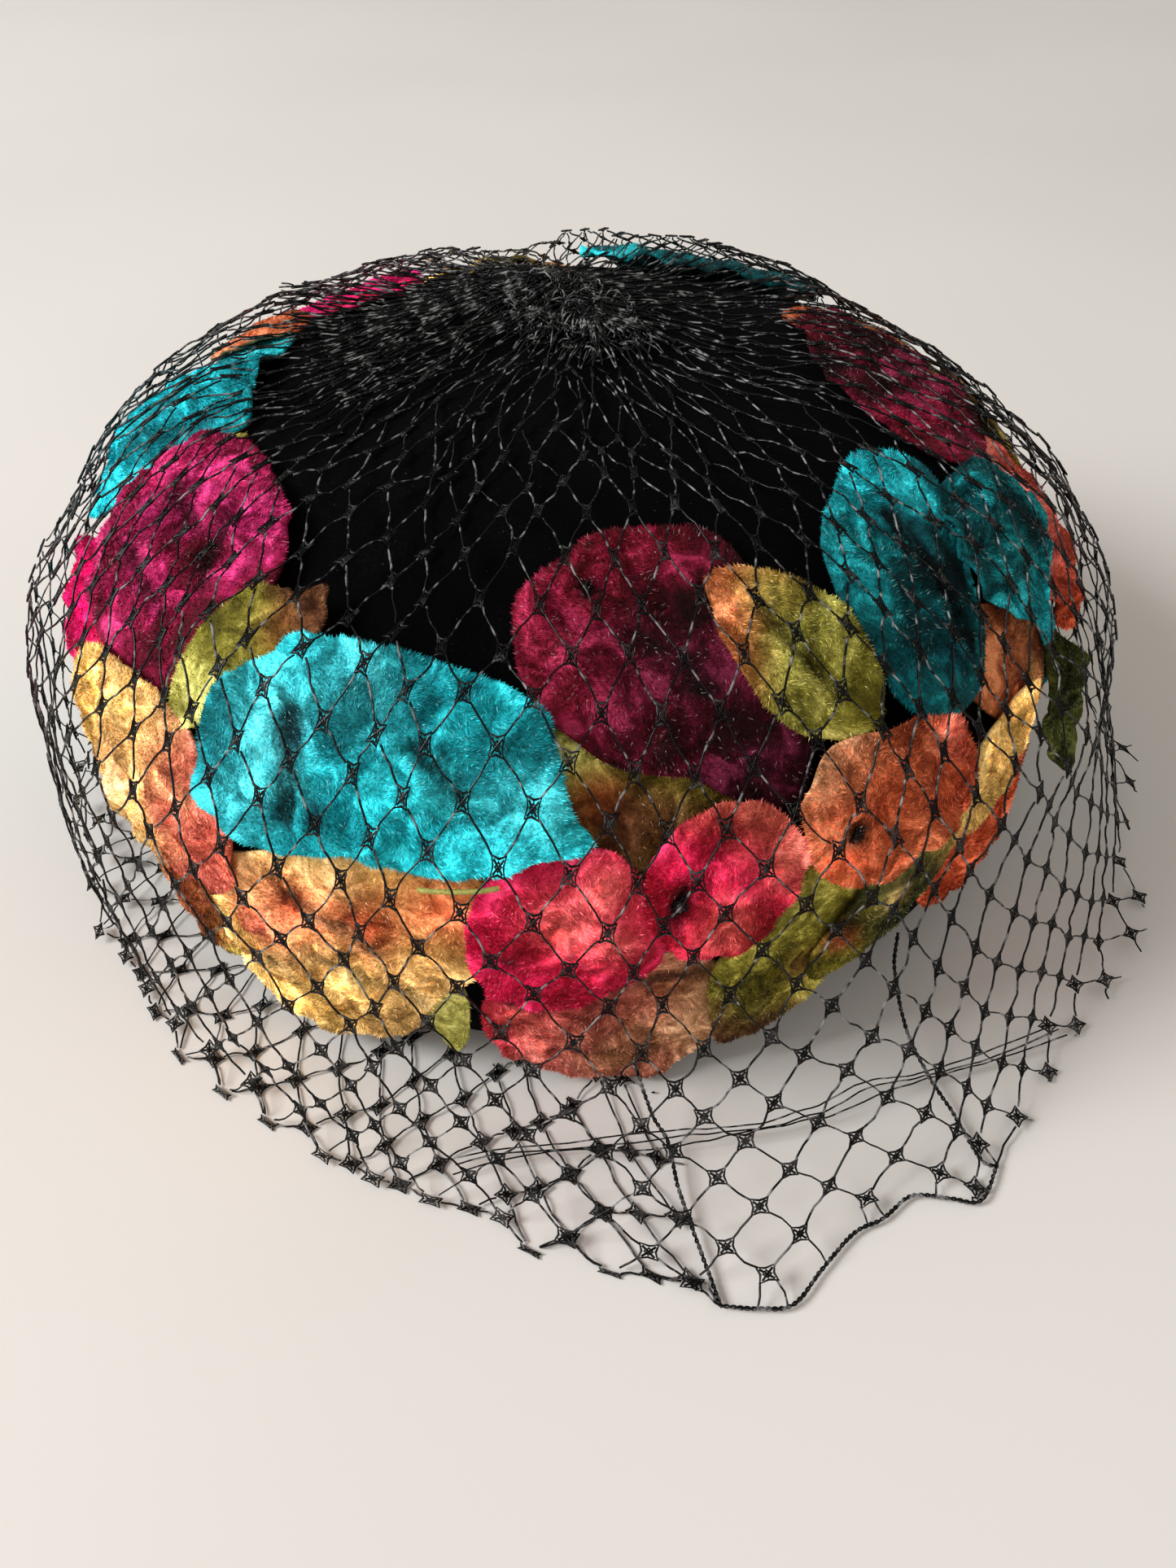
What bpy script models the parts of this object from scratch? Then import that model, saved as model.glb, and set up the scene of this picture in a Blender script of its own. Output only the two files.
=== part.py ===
"""Pillbox hat: a domed velvet crown, overlapping velvet petals and leaves, and a diamond net veil.

The origin is the centre of the crown's rim, the rim lies on the plane Z = 0, +Z is up and -Y is
the front. Sizes in the tables are millimetres and angles are degrees.
"""

import math
from functools import partial
from typing import NamedTuple

import bmesh
import bpy
from mathutils import Vector

MM = 0.001
COLLECTION_NAME = "pillbox_hat"
FRONT_ANGLE = -90.0

# Crown
CROWN_WALL = 2.8
CROWN_SEGMENTS = 40

# Petals and leaves
PETAL_THICKNESS = 1.0
PETAL_GAP = 0.6
PETAL_RINGS = 3
LARGE_PETAL_LENGTH = 40.0
LARGE_PETAL_SECTORS = 14
SMALL_PETAL_SECTORS = 10
SIDE_BY_SIDE_MARGIN = 0.8
OVERLAP_SHARES = (0.3, 0.65, 1.0)
OUTLINE_SECTORS = 36
SEARCH_STEPS = 18
COVER_MARGIN = 5.0
COVER_FADE = 7.0
CREASE_DEPTH = 0.7
CREASE_WIDTH = 0.22

# Veil
VEIL_COLUMNS = 24
STRAND_THICKNESS = 1.6
SKIRT_HEIGHT = 1.3
LANDING_RADIUS = 106.0
LANDING_HEIGHT = 10.0
HANGING_HEIGHT = 19.0
FULL_SKIRT = 20.0
LEAST_SPREAD = 0.4

# Gather of the veil on top of the crown
GATHER_CENTER = (-3.0, 17.0)
GATHER_TURN = 118.0
GATHER_LENGTH = 40.0
GATHER_WIDTH = 20.0
GATHER_RISE = 3.4
GATHER_SEAT = 0.5
GATHER_SHEET = 1.2
GATHER_PLEATS = 14
GATHER_PLEAT_DEPTH = 0.5
GATHER_SECTORS = 28
GATHER_RINGS = 3
GATHER_MARGIN = 1.6
GATHER_CLEARANCE = 2.6


class ProfilePoint(NamedTuple):
    radius: float
    height: float


# Outer line of the crown, from the top of the dome to the rim
CROWN_PROFILE = (
    ProfilePoint(0.0, 85.5),
    ProfilePoint(25.0, 84.4),
    ProfilePoint(49.0, 80.8),
    ProfilePoint(66.5, 75.0),
    ProfilePoint(79.5, 66.0),
    ProfilePoint(87.0, 55.0),
    ProfilePoint(90.3, 44.0),
    ProfilePoint(91.0, 34.0),
    ProfilePoint(90.4, 22.0),
    ProfilePoint(88.0, 10.0),
    ProfilePoint(84.0, 0.0),
)
WIDEST_POINT = 7


class Form(NamedTuple):
    point: float
    taper: float


# Outlines: a higher point sharpens both ends, a higher taper narrows the far end
FORMS = {
    "round": Form(0.86, 0.05),
    "oval": Form(0.90, 0.16),
    "drop": Form(0.95, 0.34),
    "leaf": Form(1.45, 0.0),
}


class Petal(NamedTuple):
    name: str
    azimuth: float
    height: float
    length: float
    width: float
    turn: float
    form: str
    layer: int
    puff: float
    lift: float
    color: str


# The azimuth runs from the front toward +X, the height is measured up the side and over the dome,
# and the turn is that of the length axis from level. Petals of one layer lie side by side.
PETALS = (
    Petal("rose_tan_petal", 3.8, 18.9, 40, 35, 0, "round", 0, 1.2, 0.0, "rose"),
    Petal("small_olive_leaf", -12.4, 21.0, 28, 8, -84, "leaf", 0, 0.2, 0.0, "olive"),
    Petal("olive_rust_leaf", -47.5, 20.0, 44, 25, -16, "leaf", 0, 0.8, 0.5, "rust"),
    Petal("pink_side_petal", -69.0, 49.0, 34, 29, 0, "round", 0, 1.0, 0.0, "pink"),
    Petal("teal_back_left_petal", -96.5, 79.5, 47, 37, -8, "round", 0, 1.2, 0.0, "teal"),
    Petal("olive_edge_leaf", -72.0, 79.5, 32, 9, 82, "leaf", 0, 0.3, 0.0, "olive"),
    Petal("olive_brown_leaf", 6.5, 61.5, 35, 23, -36, "leaf", 0, 0.8, 0.0, "brown"),
    Petal("rust_leaf", 54.0, 57.0, 36, 19, -42, "leaf", 0, 0.8, 0.0, "rust"),
    Petal("salmon_petal", 77.5, 64.0, 40, 27, 82, "round", 0, 1.0, 1.0, "salmon"),
    Petal("orange_low_petal", 51.0, 27.5, 42, 27, -12, "round", 0, 1.0, 0.0, "orange"),
    Petal("gold_orange_petal", -22.5, 28.0, 52, 41, 38, "round", 1, 1.4, 0.0, "gold"),
    Petal("dark_hanging_leaf", 64.0, 42.0, 34, 13, -80, "leaf", 1, 0.4, 4.0, "dark_olive"),
    Petal("burgundy_petal", 12.0, 76.5, 48, 36, -51, "drop", 1, 1.2, 0.0, "burgundy"),
    Petal("deep_teal_petal", 45.8, 78.5, 48, 30, 53, "round", 1, 1.3, 0.0, "deep_teal"),
    Petal("magenta_petal", -57.4, 76.5, 45, 36, 8, "round", 1, 1.3, 0.0, "magenta"),
    Petal("wine_petal", 90.5, 94.5, 48, 29, 22, "round", 1, 0.7, 0.0, "wine"),
    Petal("olive_gold_leaf", 20.0, 27.5, 42, 23, 64, "leaf", 1, 0.8, 0.0, "olive"),
    Petal("gold_olive_leaf", 46.5, 44.5, 36, 15, 22, "leaf", 1, 0.6, 0.0, "gold"),
    Petal("peach_petal", -48.2, 44.0, 45, 30, -4, "round", 2, 1.2, 0.0, "peach"),
    Petal("brown_tip_leaf", -35.5, 72.4, 32, 17, 62, "leaf", 2, 0.7, 0.5, "olive"),
    Petal("olive_right_leaf", 31.5, 35.5, 36, 15, 44, "leaf", 2, 0.5, 0.0, "olive"),
    Petal("ribbed_leaf", 25.0, 76.0, 34, 19, -58, "leaf", 2, 0.9, 0.5, "olive"),
    Petal("small_teal_petal", 62.5, 71.5, 32, 29, -106, "drop", 2, 1.1, 0.5, "deep_teal"),
    Petal("hot_pink_petal", 0.0, 39.6, 29, 30, 8, "round", 2, 1.3, 0.0, "pink"),
    Petal("teal_petal", -18.0, 62.2, 57, 31.5, -4, "oval", 3, 1.2, 0.0, "teal"),
    Petal("orange_petal", 32.6, 51.5, 32, 26, 4, "round", 3, 1.2, 0.0, "orange"),
    Petal("raspberry_petal", 14.0, 46.5, 25, 24, 50, "round", 3, 1.2, 0.0, "raspberry"),
    Petal("pink_back_petal", -134.0, 89.5, 42, 33, 78, "round", 0, 1.2, 0.0, "pink"),
    Petal("orange_back_leaf", -111.0, 86.5, 36, 18, 82, "leaf", 1, 0.6, 0.0, "orange"),
    Petal("gold_back_petal", -167.0, 75.0, 46, 36, 8, "round", 0, 1.2, 0.0, "gold"),
    Petal("teal_back_petal", 155.0, 88.0, 54, 40, 4, "round", 1, 1.3, 0.0, "teal"),
    Petal("olive_back_leaf", 113.0, 87.5, 42, 21, 78, "leaf", 0, 0.7, 0.0, "dark_olive"),
    Petal("teal_low_petal", -91.0, 32.0, 42, 34, 6, "round", 0, 1.2, 0.0, "teal"),
    Petal("raspberry_low_petal", -115.0, 40.0, 46, 40, -8, "round", 1, 1.3, 0.0, "raspberry"),
    Petal("gold_low_petal", -144.0, 35.0, 48, 38, 10, "round", 0, 1.2, 0.0, "peach"),
    Petal("burgundy_low_petal", -174.0, 33.0, 48, 36, -6, "round", 1, 1.3, 0.0, "burgundy"),
    Petal("orange_back_petal", 157.0, 42.0, 44, 36, 12, "round", 0, 1.2, 0.0, "orange"),
    Petal("pink_low_petal", 129.0, 36.0, 46, 38, -10, "round", 1, 1.3, 0.0, "pink"),
    Petal("olive_low_leaf", 105.0, 46.0, 50, 25, 64, "leaf", 1, 0.9, 0.0, "olive"),
    Petal("teal_side_petal", 86.0, 25.0, 42, 34, -8, "round", 0, 1.2, 0.0, "deep_teal"),
)

# Base colours, red, green and blue in linear light
COLORS = {
    "black": (0.006, 0.006, 0.008),
    "net": (0.010, 0.012, 0.016),
    "teal": (0.012, 0.352, 0.445),
    "deep_teal": (0.006, 0.162, 0.209),
    "burgundy": (0.195, 0.009, 0.048),
    "magenta": (0.356, 0.012, 0.102),
    "wine": (0.162, 0.007, 0.040),
    "pink": (0.745, 0.026, 0.150),
    "raspberry": (0.604, 0.018, 0.069),
    "rose": (0.546, 0.127, 0.102),
    "salmon": (0.730, 0.188, 0.120),
    "orange": (0.638, 0.181, 0.060),
    "peach": (0.791, 0.397, 0.127),
    "gold": (0.730, 0.445, 0.091),
    "olive": (0.319, 0.283, 0.045),
    "dark_olive": (0.076, 0.080, 0.012),
    "rust": (0.352, 0.106, 0.035),
    "brown": (0.195, 0.095, 0.025),
}


class VeilRow(NamedTuple):
    height: float
    clearance: float
    shift: float


# Rows of knots from the top of the dome down to the side: height up the side and over the dome,
# clearance from the crown, and the share of the gather's offset from the axis that a row takes
VEIL_ROWS = (
    VeilRow(115.0, 5.0, 0.6),
    VeilRow(90.0, 9.5, 0.2),
    VeilRow(64.0, 11.3, 0.0),
    VeilRow(37.0, 11.0, 0.0),
)


class EdgePoint(NamedTuple):
    azimuth: float
    radius: float
    height: float


# Cut edge of the veil round the hat; its front corner lies farthest out
VEIL_EDGE = (
    EdgePoint(-180.0, 104.0, 8.0),
    EdgePoint(-110.0, 105.0, 7.0),
    EdgePoint(-70.0, 105.0, 4.0),
    EdgePoint(-50.0, 106.0, SKIRT_HEIGHT),
    EdgePoint(-30.0, 111.0, SKIRT_HEIGHT),
    EdgePoint(-10.0, 116.0, SKIRT_HEIGHT),
    EdgePoint(2.0, 123.0, SKIRT_HEIGHT),
    EdgePoint(14.0, 133.0, SKIRT_HEIGHT),
    EdgePoint(30.0, 128.0, SKIRT_HEIGHT),
    EdgePoint(45.0, 120.0, SKIRT_HEIGHT),
    EdgePoint(62.0, 118.0, 3.0),
    EdgePoint(80.0, 115.0, 6.0),
    EdgePoint(110.0, 109.0, 9.0),
    EdgePoint(180.0, 104.0, 8.0),
)


def clear_scene():
    """Remove what is in the scene."""
    for item in list(bpy.data.objects):
        bpy.data.objects.remove(item, do_unlink=True)


def new_collection(name):
    """Make a collection under the scene."""
    collection = bpy.data.collections.new(name)
    bpy.context.scene.collection.children.link(collection)
    return collection


def make_material(name, color, roughness=0.85):
    """Make a plain cloth or thread material."""
    material = bpy.data.materials.new(name)
    material.use_nodes = True
    shader = material.node_tree.nodes["Principled BSDF"]
    shader.inputs["Base Color"].default_value = (*color, 1.0)
    shader.inputs["Roughness"].default_value = roughness
    shader.inputs["Metallic"].default_value = 0.0
    material.diffuse_color = (*color, 1.0)
    return material


def add_object(collection, name, mesh, material):
    """Link a named object with its own material."""
    item = bpy.data.objects.new(name, mesh)
    mesh.materials.append(material)
    collection.objects.link(item)
    return item


def smooth_step(value):
    """Ease a value from 0 to 1."""
    t = min(max(value, 0.0), 1.0)
    return t * t * (3.0 - 2.0 * t)


def blend_point(before, start, end, after, t):
    """Point on a Catmull-Rom curve between start and end."""
    return tuple(
        0.5 * (2 * b + (c - a) * t + (2 * a - 5 * b + 4 * c - d) * t ** 2
               + (3 * b - a - 3 * c + d) * t ** 3)
        for a, b, c, d in zip(before, start, end, after)
    )


class Surface:
    """The crown's outer surface above its widest ring, carried plumb down to the table.

    A place on it is an azimuth and a height, the length of line from the table up the side and
    over the dome.
    """

    STEPS = 16

    def __init__(self):
        dome = CROWN_PROFILE[:WIDEST_POINT + 1][::-1]
        widest = dome[0]
        line = [(widest.radius, 0.0)]
        for index in range(len(dome) - 1):
            before = dome[max(index - 1, 0)]
            after = dome[min(index + 2, len(dome) - 1)]
            for step in range(self.STEPS):
                t = step / self.STEPS
                line.append(blend_point(before, dome[index], dome[index + 1], after, t))
        line.append(tuple(dome[-1]))
        self.line = line
        self.heights = [0.0]
        for start, end in zip(line, line[1:]):
            self.heights.append(self.heights[-1] + math.dist(start, end))

    def segment(self, height):
        """Index of the piece of the line at a height, and the share along it."""
        last = len(self.heights) - 2
        for index in range(last + 1):
            if height < self.heights[index + 1] or index == last:
                span = self.heights[index + 1] - self.heights[index]
                return index, (height - self.heights[index]) / span

    def radius(self, height):
        """Radius of the surface at a height."""
        index, t = self.segment(height)
        start = self.line[index][0]
        return start + (self.line[index + 1][0] - start) * t

    def direction(self, index):
        """Outward normal of one piece of the line, as a radius and a height."""
        (radius_a, height_a), (radius_b, height_b) = self.line[index], self.line[index + 1]
        length = math.dist(self.line[index], self.line[index + 1])
        return (height_b - height_a) / length, (radius_a - radius_b) / length

    def normal(self, height):
        """Outward normal at a height, smoothed between the pieces of the line."""
        index, t = self.segment(height)
        last = len(self.line) - 2
        here = self.direction(index)
        beside = self.direction(min(index + 1, last) if t > 0.5 else max(index - 1, 0))
        share = abs(t - 0.5)
        mixed = [a * (1 - share) + b * share for a, b in zip(here, beside)]
        size = math.hypot(*mixed)
        return mixed[0] / size, mixed[1] / size

    def point(self, azimuth, height, offset=0.0):
        """Place in millimetres at an azimuth, a height and an offset outward."""
        index, t = self.segment(height)
        start, end = self.line[index], self.line[index + 1]
        normal = self.normal(height)
        radius = start[0] + (end[0] - start[0]) * t + normal[0] * offset
        level = start[1] + (end[1] - start[1]) * t + normal[1] * offset
        angle = math.radians(azimuth)
        return Vector((radius * math.sin(angle), -radius * math.cos(angle), level))

    def level_over(self, x, y):
        """Level of the dome above a point of the plan."""
        radius = math.hypot(x, y)
        for start, end in zip(self.line[1:], self.line[2:]):
            if end[0] <= radius <= start[0]:
                t = (start[0] - radius) / (start[0] - end[0])
                return start[1] + (end[1] - start[1]) * t
        return self.line[-1][1]


SURFACE = Surface()


def half_width(petal, along):
    """Half the width of a petal's outline at a share of its half length, from -1 to 1."""
    form = FORMS[petal.form]
    inside = max(1.0 - along * along, 0.0)
    return petal.width / 2 * inside ** (form.point / 2) * (1 - form.taper * along)


def to_surface(petal, x, y):
    """Azimuth and height of a point given along and across a petal."""
    turn = math.radians(petal.turn)
    height = petal.height + x * math.sin(turn) + y * math.cos(turn)
    level = x * math.cos(turn) - y * math.sin(turn)
    return petal.azimuth + math.degrees(level / SURFACE.radius(height)), height


def to_petal(petal, azimuth, height):
    """Distances along and across a petal of a place on the surface."""
    turn = math.radians(petal.turn)
    around = (azimuth - petal.azimuth + 180.0) % 360.0 - 180.0
    level = math.radians(around) * SURFACE.radius(height)
    rise = height - petal.height
    return (level * math.cos(turn) + rise * math.sin(turn),
            rise * math.cos(turn) - level * math.sin(turn))


def distance_outside(petal, azimuth, height):
    """Distance of a place from a petal's outline toward its middle, close to 0 inside it."""
    x, y = to_petal(petal, azimuth, height)
    reach = math.hypot(x, y)
    if reach > petal.length + COVER_MARGIN + COVER_FADE:
        return reach
    low, high = 0.0, 1.0
    for _ in range(SEARCH_STEPS):
        share = (low + high) / 2
        along = 2 * x * share / petal.length
        inside = abs(along) <= 1 and abs(y * share) <= half_width(petal, along)
        low, high = (share, high) if inside else (low, share)
    return reach * (1.0 - low)


def outline(petal, share):
    """Points along and across a petal, round its outline drawn in to a share of its size."""
    points = []
    for sector in range(OUTLINE_SECTORS):
        angle = 2 * math.pi * sector / OUTLINE_SECTORS
        along = math.cos(angle)
        side = math.copysign(half_width(petal, along), math.sin(angle))
        points.append((share * petal.length / 2 * along, share * side))
    return points


def overlap(lower, upper):
    """Whether two petals overlap in plan or lie closer than the side by side margin."""
    for share in OVERLAP_SHARES:
        for first, second in ((lower, upper), (upper, lower)):
            for x, y in outline(first, share):
                if distance_outside(second, *to_surface(first, x, y)) < SIDE_BY_SIDE_MARGIN:
                    return True
    return False


def covering_petals(petal):
    """Petals of the layers above that lie over a petal."""
    return [other for other in PETALS if other.layer > petal.layer and overlap(petal, other)]


def petal_offset(petal, covers, x, y, share):
    """Offset of a petal's underside from the surface: its layer, its puff and its lifted tip."""
    seat = PETAL_GAP + petal.layer * (PETAL_THICKNESS + PETAL_GAP)
    azimuth, height = to_surface(petal, x, y)
    room = 1.0
    for cover in covers:
        distance = distance_outside(cover, azimuth, height)
        room = min(room, smooth_step((distance - COVER_MARGIN) / COVER_FADE))
    crease = CREASE_DEPTH * math.exp(-(y / (CREASE_WIDTH * petal.width)) ** 2)
    swell = petal.puff * (1 - share * share) * (1 - crease)
    tip = petal.lift * max(2 * x / petal.length, 0.0) ** 2
    return seat + room * (swell + tip)


def spun_disc(rings, sectors):
    """Flat disc of unit radius, spun from a radial line of edges."""
    mesh = bmesh.new()
    line = [mesh.verts.new((ring / rings, 0.0, 0.0)) for ring in range(rings + 1)]
    edges = [mesh.edges.new(pair) for pair in zip(line, line[1:])]
    bmesh.ops.spin(mesh, geom=line + edges, cent=(0, 0, 0), axis=(0, 0, 1),
                   angle=2 * math.pi, steps=sectors, use_merge=True)
    bmesh.ops.remove_doubles(mesh, verts=mesh.verts, dist=0.0001)
    bmesh.ops.dissolve_degenerate(mesh, edges=mesh.edges, dist=0.0001)
    bmesh.ops.recalc_face_normals(mesh, faces=mesh.faces)
    if sum(face.normal.z for face in mesh.faces) < 0:
        bmesh.ops.reverse_faces(mesh, faces=mesh.faces)
    return mesh


def finish_sheet(item, thickness):
    """Give an open sheet its thickness outward from the face and smooth shading."""
    solidify = item.modifiers.new("Thickness", "SOLIDIFY")
    solidify.thickness = thickness * MM
    solidify.offset = 1.0
    item.data.shade_smooth()


def build_petal(collection, petal):
    """One petal or leaf: a disc drawn to its outline and wrapped on its layer."""
    covers = covering_petals(petal)
    sectors = LARGE_PETAL_SECTORS if petal.length > LARGE_PETAL_LENGTH else SMALL_PETAL_SECTORS
    sheet = spun_disc(PETAL_RINGS, sectors)
    for vert in sheet.verts:
        share = min(math.hypot(vert.co.x, vert.co.y), 1.0)
        along = vert.co.x / share if share > 0 else 0.0
        side = math.copysign(half_width(petal, along), vert.co.y) if share > 0 else 0.0
        x = petal.length / 2 * along * share
        y = side * share
        offset = petal_offset(petal, covers, x, y, share)
        vert.co = SURFACE.point(*to_surface(petal, x, y), offset) * MM
    sheet.normal_update()
    mesh = bpy.data.meshes.new(petal.name)
    sheet.to_mesh(mesh)
    sheet.free()
    material = make_material(petal.name + "_velvet", COLORS[petal.color])
    finish_sheet(add_object(collection, petal.name, mesh, material), PETAL_THICKNESS)


def build_crown(collection):
    """Domed crown, a closed profile turned about the axis."""
    outer = [(point.radius, point.height) for point in CROWN_PROFILE]
    inner = []
    for index in range(len(outer) - 1, -1, -1):
        before = outer[max(index - 1, 0)]
        after = outer[min(index + 1, len(outer) - 1)]
        run = (after[0] - before[0], after[1] - before[1])
        size = math.hypot(*run)
        radius = outer[index][0] + run[1] / size * CROWN_WALL
        height = outer[index][1] - run[0] / size * CROWN_WALL
        inner.append((max(radius, 0.0), height))
    inner[0] = (outer[-1][0] - CROWN_WALL, 0.0)
    inner[-1] = (0.0, outer[0][1] - CROWN_WALL)
    points = [Vector((radius, 0.0, height)) * MM for radius, height in outer + inner]
    mesh = bpy.data.meshes.new("crown")
    mesh.from_pydata(points, [(i, i + 1) for i in range(len(points) - 1)], [])
    crown = add_object(collection, "crown", mesh, make_material("crown_velvet", COLORS["black"]))
    turn = crown.modifiers.new("Turn", "SCREW")
    turn.steps = CROWN_SEGMENTS
    turn.render_steps = CROWN_SEGMENTS
    turn.use_merge_vertices = True
    turn.merge_threshold = 0.0001
    turn.use_smooth_shade = True


def build_gather(collection):
    """Bunched net on top of the crown: a pleated mound over the dome."""
    sheet = spun_disc(GATHER_RINGS, GATHER_SECTORS)
    for vert in sheet.verts:
        share = min(math.hypot(vert.co.x, vert.co.y), 1.0)
        pleat = 1 + math.cos(GATHER_PLEATS * math.atan2(vert.co.y, vert.co.x))
        plan = on_gather(vert.co.x * GATHER_LENGTH / 2, vert.co.y * GATHER_WIDTH / 2)
        rise = GATHER_RISE * (1 - share * share) + GATHER_PLEAT_DEPTH * pleat * share
        vert.co = Vector((*plan, SURFACE.level_over(*plan) + GATHER_SEAT + rise)) * MM
    sheet.normal_update()
    mesh = bpy.data.meshes.new("veil_gather")
    sheet.to_mesh(mesh)
    sheet.free()
    material = make_material("gather_net", COLORS["net"], 0.6)
    finish_sheet(add_object(collection, "veil_gather", mesh, material), GATHER_SHEET)


def edge_at(azimuth):
    """Radius and height of the veil's cut edge at an azimuth."""
    around = (azimuth + 180.0) % 360.0 - 180.0
    for start, end in zip(VEIL_EDGE, VEIL_EDGE[1:]):
        if start.azimuth <= around <= end.azimuth:
            t = smooth_step((around - start.azimuth) / (end.azimuth - start.azimuth))
            radius = start.radius + (end.radius - start.radius) * t
            return radius, start.height + (end.height - start.height) * t


def on_gather(x, y):
    """Plan position of a point along and across the gather."""
    turn = math.radians(GATHER_TURN)
    return (GATHER_CENTER[0] + x * math.cos(turn) - y * math.sin(turn),
            GATHER_CENTER[1] + x * math.sin(turn) + y * math.cos(turn))


def gather_knot(azimuth):
    """Knot where the net runs into the gather, just outside its oval."""
    angle = math.radians(azimuth + FRONT_ANGLE - GATHER_TURN)
    plan = on_gather((GATHER_LENGTH / 2 + GATHER_MARGIN) * math.cos(angle),
                     (GATHER_WIDTH / 2 + GATHER_MARGIN) * math.sin(angle))
    return Vector((*plan, SURFACE.level_over(*plan) + GATHER_CLEARANCE))


def dome_knot(row, azimuth):
    """Knot of one row over the dome, drawn toward the gather near the top."""
    knot = SURFACE.point(azimuth, row.height, row.clearance)
    if row.shift:
        knot.x += GATHER_CENTER[0] * row.shift
        knot.y += GATHER_CENTER[1] * row.shift
        knot.z = SURFACE.level_over(knot.x, knot.y) + row.clearance
    return knot


def ring_point(azimuth, radius, height):
    """Point at an azimuth, a radius and a height."""
    angle = math.radians(azimuth)
    return Vector((radius * math.sin(angle), -radius * math.cos(angle), height))


def landing_knot(azimuth):
    """Knot where the veil comes down to the table, or hangs above it where it is short."""
    edge_radius, _ = edge_at(azimuth)
    side_radius = SURFACE.radius(VEIL_ROWS[-1].height) + VEIL_ROWS[-1].clearance
    full = smooth_step((edge_radius - side_radius) / FULL_SKIRT)
    spread = LEAST_SPREAD + (1 - LEAST_SPREAD) * full
    radius = side_radius + (LANDING_RADIUS - side_radius) * spread
    return ring_point(azimuth, radius, HANGING_HEIGHT + (LANDING_HEIGHT - HANGING_HEIGHT) * full)


def edge_knot(azimuth):
    """Knot of the veil's cut edge."""
    return ring_point(azimuth, *edge_at(azimuth))


def build_veil(collection):
    """Diamond net over the hat: a sheet of diamonds kept only along its edges."""
    net = bmesh.new()
    pitch = 360.0 / VEIL_COLUMNS
    rows = []
    makers = [gather_knot]
    makers += [partial(dome_knot, row) for row in VEIL_ROWS]
    makers += [landing_knot, edge_knot]
    for index, make_knot in enumerate(makers):
        azimuths = [pitch * (column + 0.5 * (index % 2)) for column in range(VEIL_COLUMNS)]
        rows.append([net.verts.new(make_knot(azimuth) * MM) for azimuth in azimuths])
    for index in range(len(rows) - 2):
        shift = index % 2
        for column in range(VEIL_COLUMNS):
            left = (column - 1 + shift) % VEIL_COLUMNS
            right = (column + shift) % VEIL_COLUMNS
            net.faces.new((rows[index][column], rows[index + 1][left],
                           rows[index + 2][column], rows[index + 1][right]))
    bmesh.ops.recalc_face_normals(net, faces=net.faces)
    mesh = bpy.data.meshes.new("veil")
    net.to_mesh(mesh)
    net.free()
    veil = add_object(collection, "veil", mesh, make_material("veil_net", COLORS["net"], 0.6))
    strands = veil.modifiers.new("Strands", "WIREFRAME")
    strands.thickness = STRAND_THICKNESS * MM
    strands.offset = 0.0
    strands.use_boundary = True
    strands.use_replace = True
    strands.use_even_offset = False


def main():
    """Build the whole hat."""
    clear_scene()
    collection = new_collection(COLLECTION_NAME)
    build_crown(collection)
    for petal in PETALS:
        build_petal(collection, petal)
    build_gather(collection)
    build_veil(collection)


main()
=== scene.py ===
"""Pillbox hat, dressed: crushed velvet petals and leaves on a black velvet crown, under a net veil.

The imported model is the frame. Sizes in the tables are millimetres and angles are degrees. A place
on the hat is an azimuth, from the front toward +X, and a height, the length of line from the table
up the side and over the dome.
"""

import math
from typing import NamedTuple

import bpy
import numpy as np
from bpy.props import FloatProperty, FloatVectorProperty, IntProperty, PointerProperty
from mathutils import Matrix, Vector, noise


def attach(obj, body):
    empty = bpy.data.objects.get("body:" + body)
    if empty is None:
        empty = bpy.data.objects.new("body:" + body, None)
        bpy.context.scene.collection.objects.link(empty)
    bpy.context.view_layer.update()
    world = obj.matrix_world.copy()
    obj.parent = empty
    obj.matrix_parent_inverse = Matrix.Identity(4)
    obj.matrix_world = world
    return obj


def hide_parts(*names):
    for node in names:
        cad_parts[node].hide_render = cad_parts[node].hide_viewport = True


bl_info = {
    "name": "Pillbox Hat",
    "version": (1, 0, 0),
    "blender": (4, 5, 0),
    "location": "3D View > Sidebar > Hat",
    "description": "Velvet pillbox hat with petals, leaves and a net veil",
    "category": "Object",
}

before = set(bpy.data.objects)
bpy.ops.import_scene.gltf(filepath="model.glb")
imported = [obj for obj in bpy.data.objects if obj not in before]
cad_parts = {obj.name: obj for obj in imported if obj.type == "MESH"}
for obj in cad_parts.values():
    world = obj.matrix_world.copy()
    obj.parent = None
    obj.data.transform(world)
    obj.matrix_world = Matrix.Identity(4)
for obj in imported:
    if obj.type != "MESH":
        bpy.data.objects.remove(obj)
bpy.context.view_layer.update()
BODY = "root"
MM = 0.001

# Outer line of the crown, radius and height, from the top of the dome to the rim
CROWN_PROFILE = ((0.0, 85.5), (25.0, 84.4), (49.0, 80.8), (66.5, 75.0), (79.5, 66.0), (87.0, 55.0),
                 (90.3, 44.0), (91.0, 34.0), (90.4, 22.0), (88.0, 10.0), (84.0, 0.0))
WIDEST_POINT = 7
LINE_STEPS = 24
CROWN_WALL = 2.6
CROWN_SEGMENTS = 128

# Petals lie in layers: the space under the lowest, and the rise from one layer to the next
LOWEST_SEAT = 1.5
LAYER_RISE = 1.6
COVER_MARGIN = 4.0
COVER_FADE = 7.0
PUFF_SIZE = 8.5
SHOWN_GRID = (28, 80)
HIDDEN_GRID = (14, 44)
# A sheet's flat width is taken as no less than this
LEAST_SHEET_SIDE = 10.0
# Bumps of the crushed cloth: their size, and the share of the crumple that they take
COARSE_BUMPS = (12.0, 1.1)
FINE_BUMPS = (4.2, 0.35)
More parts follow.
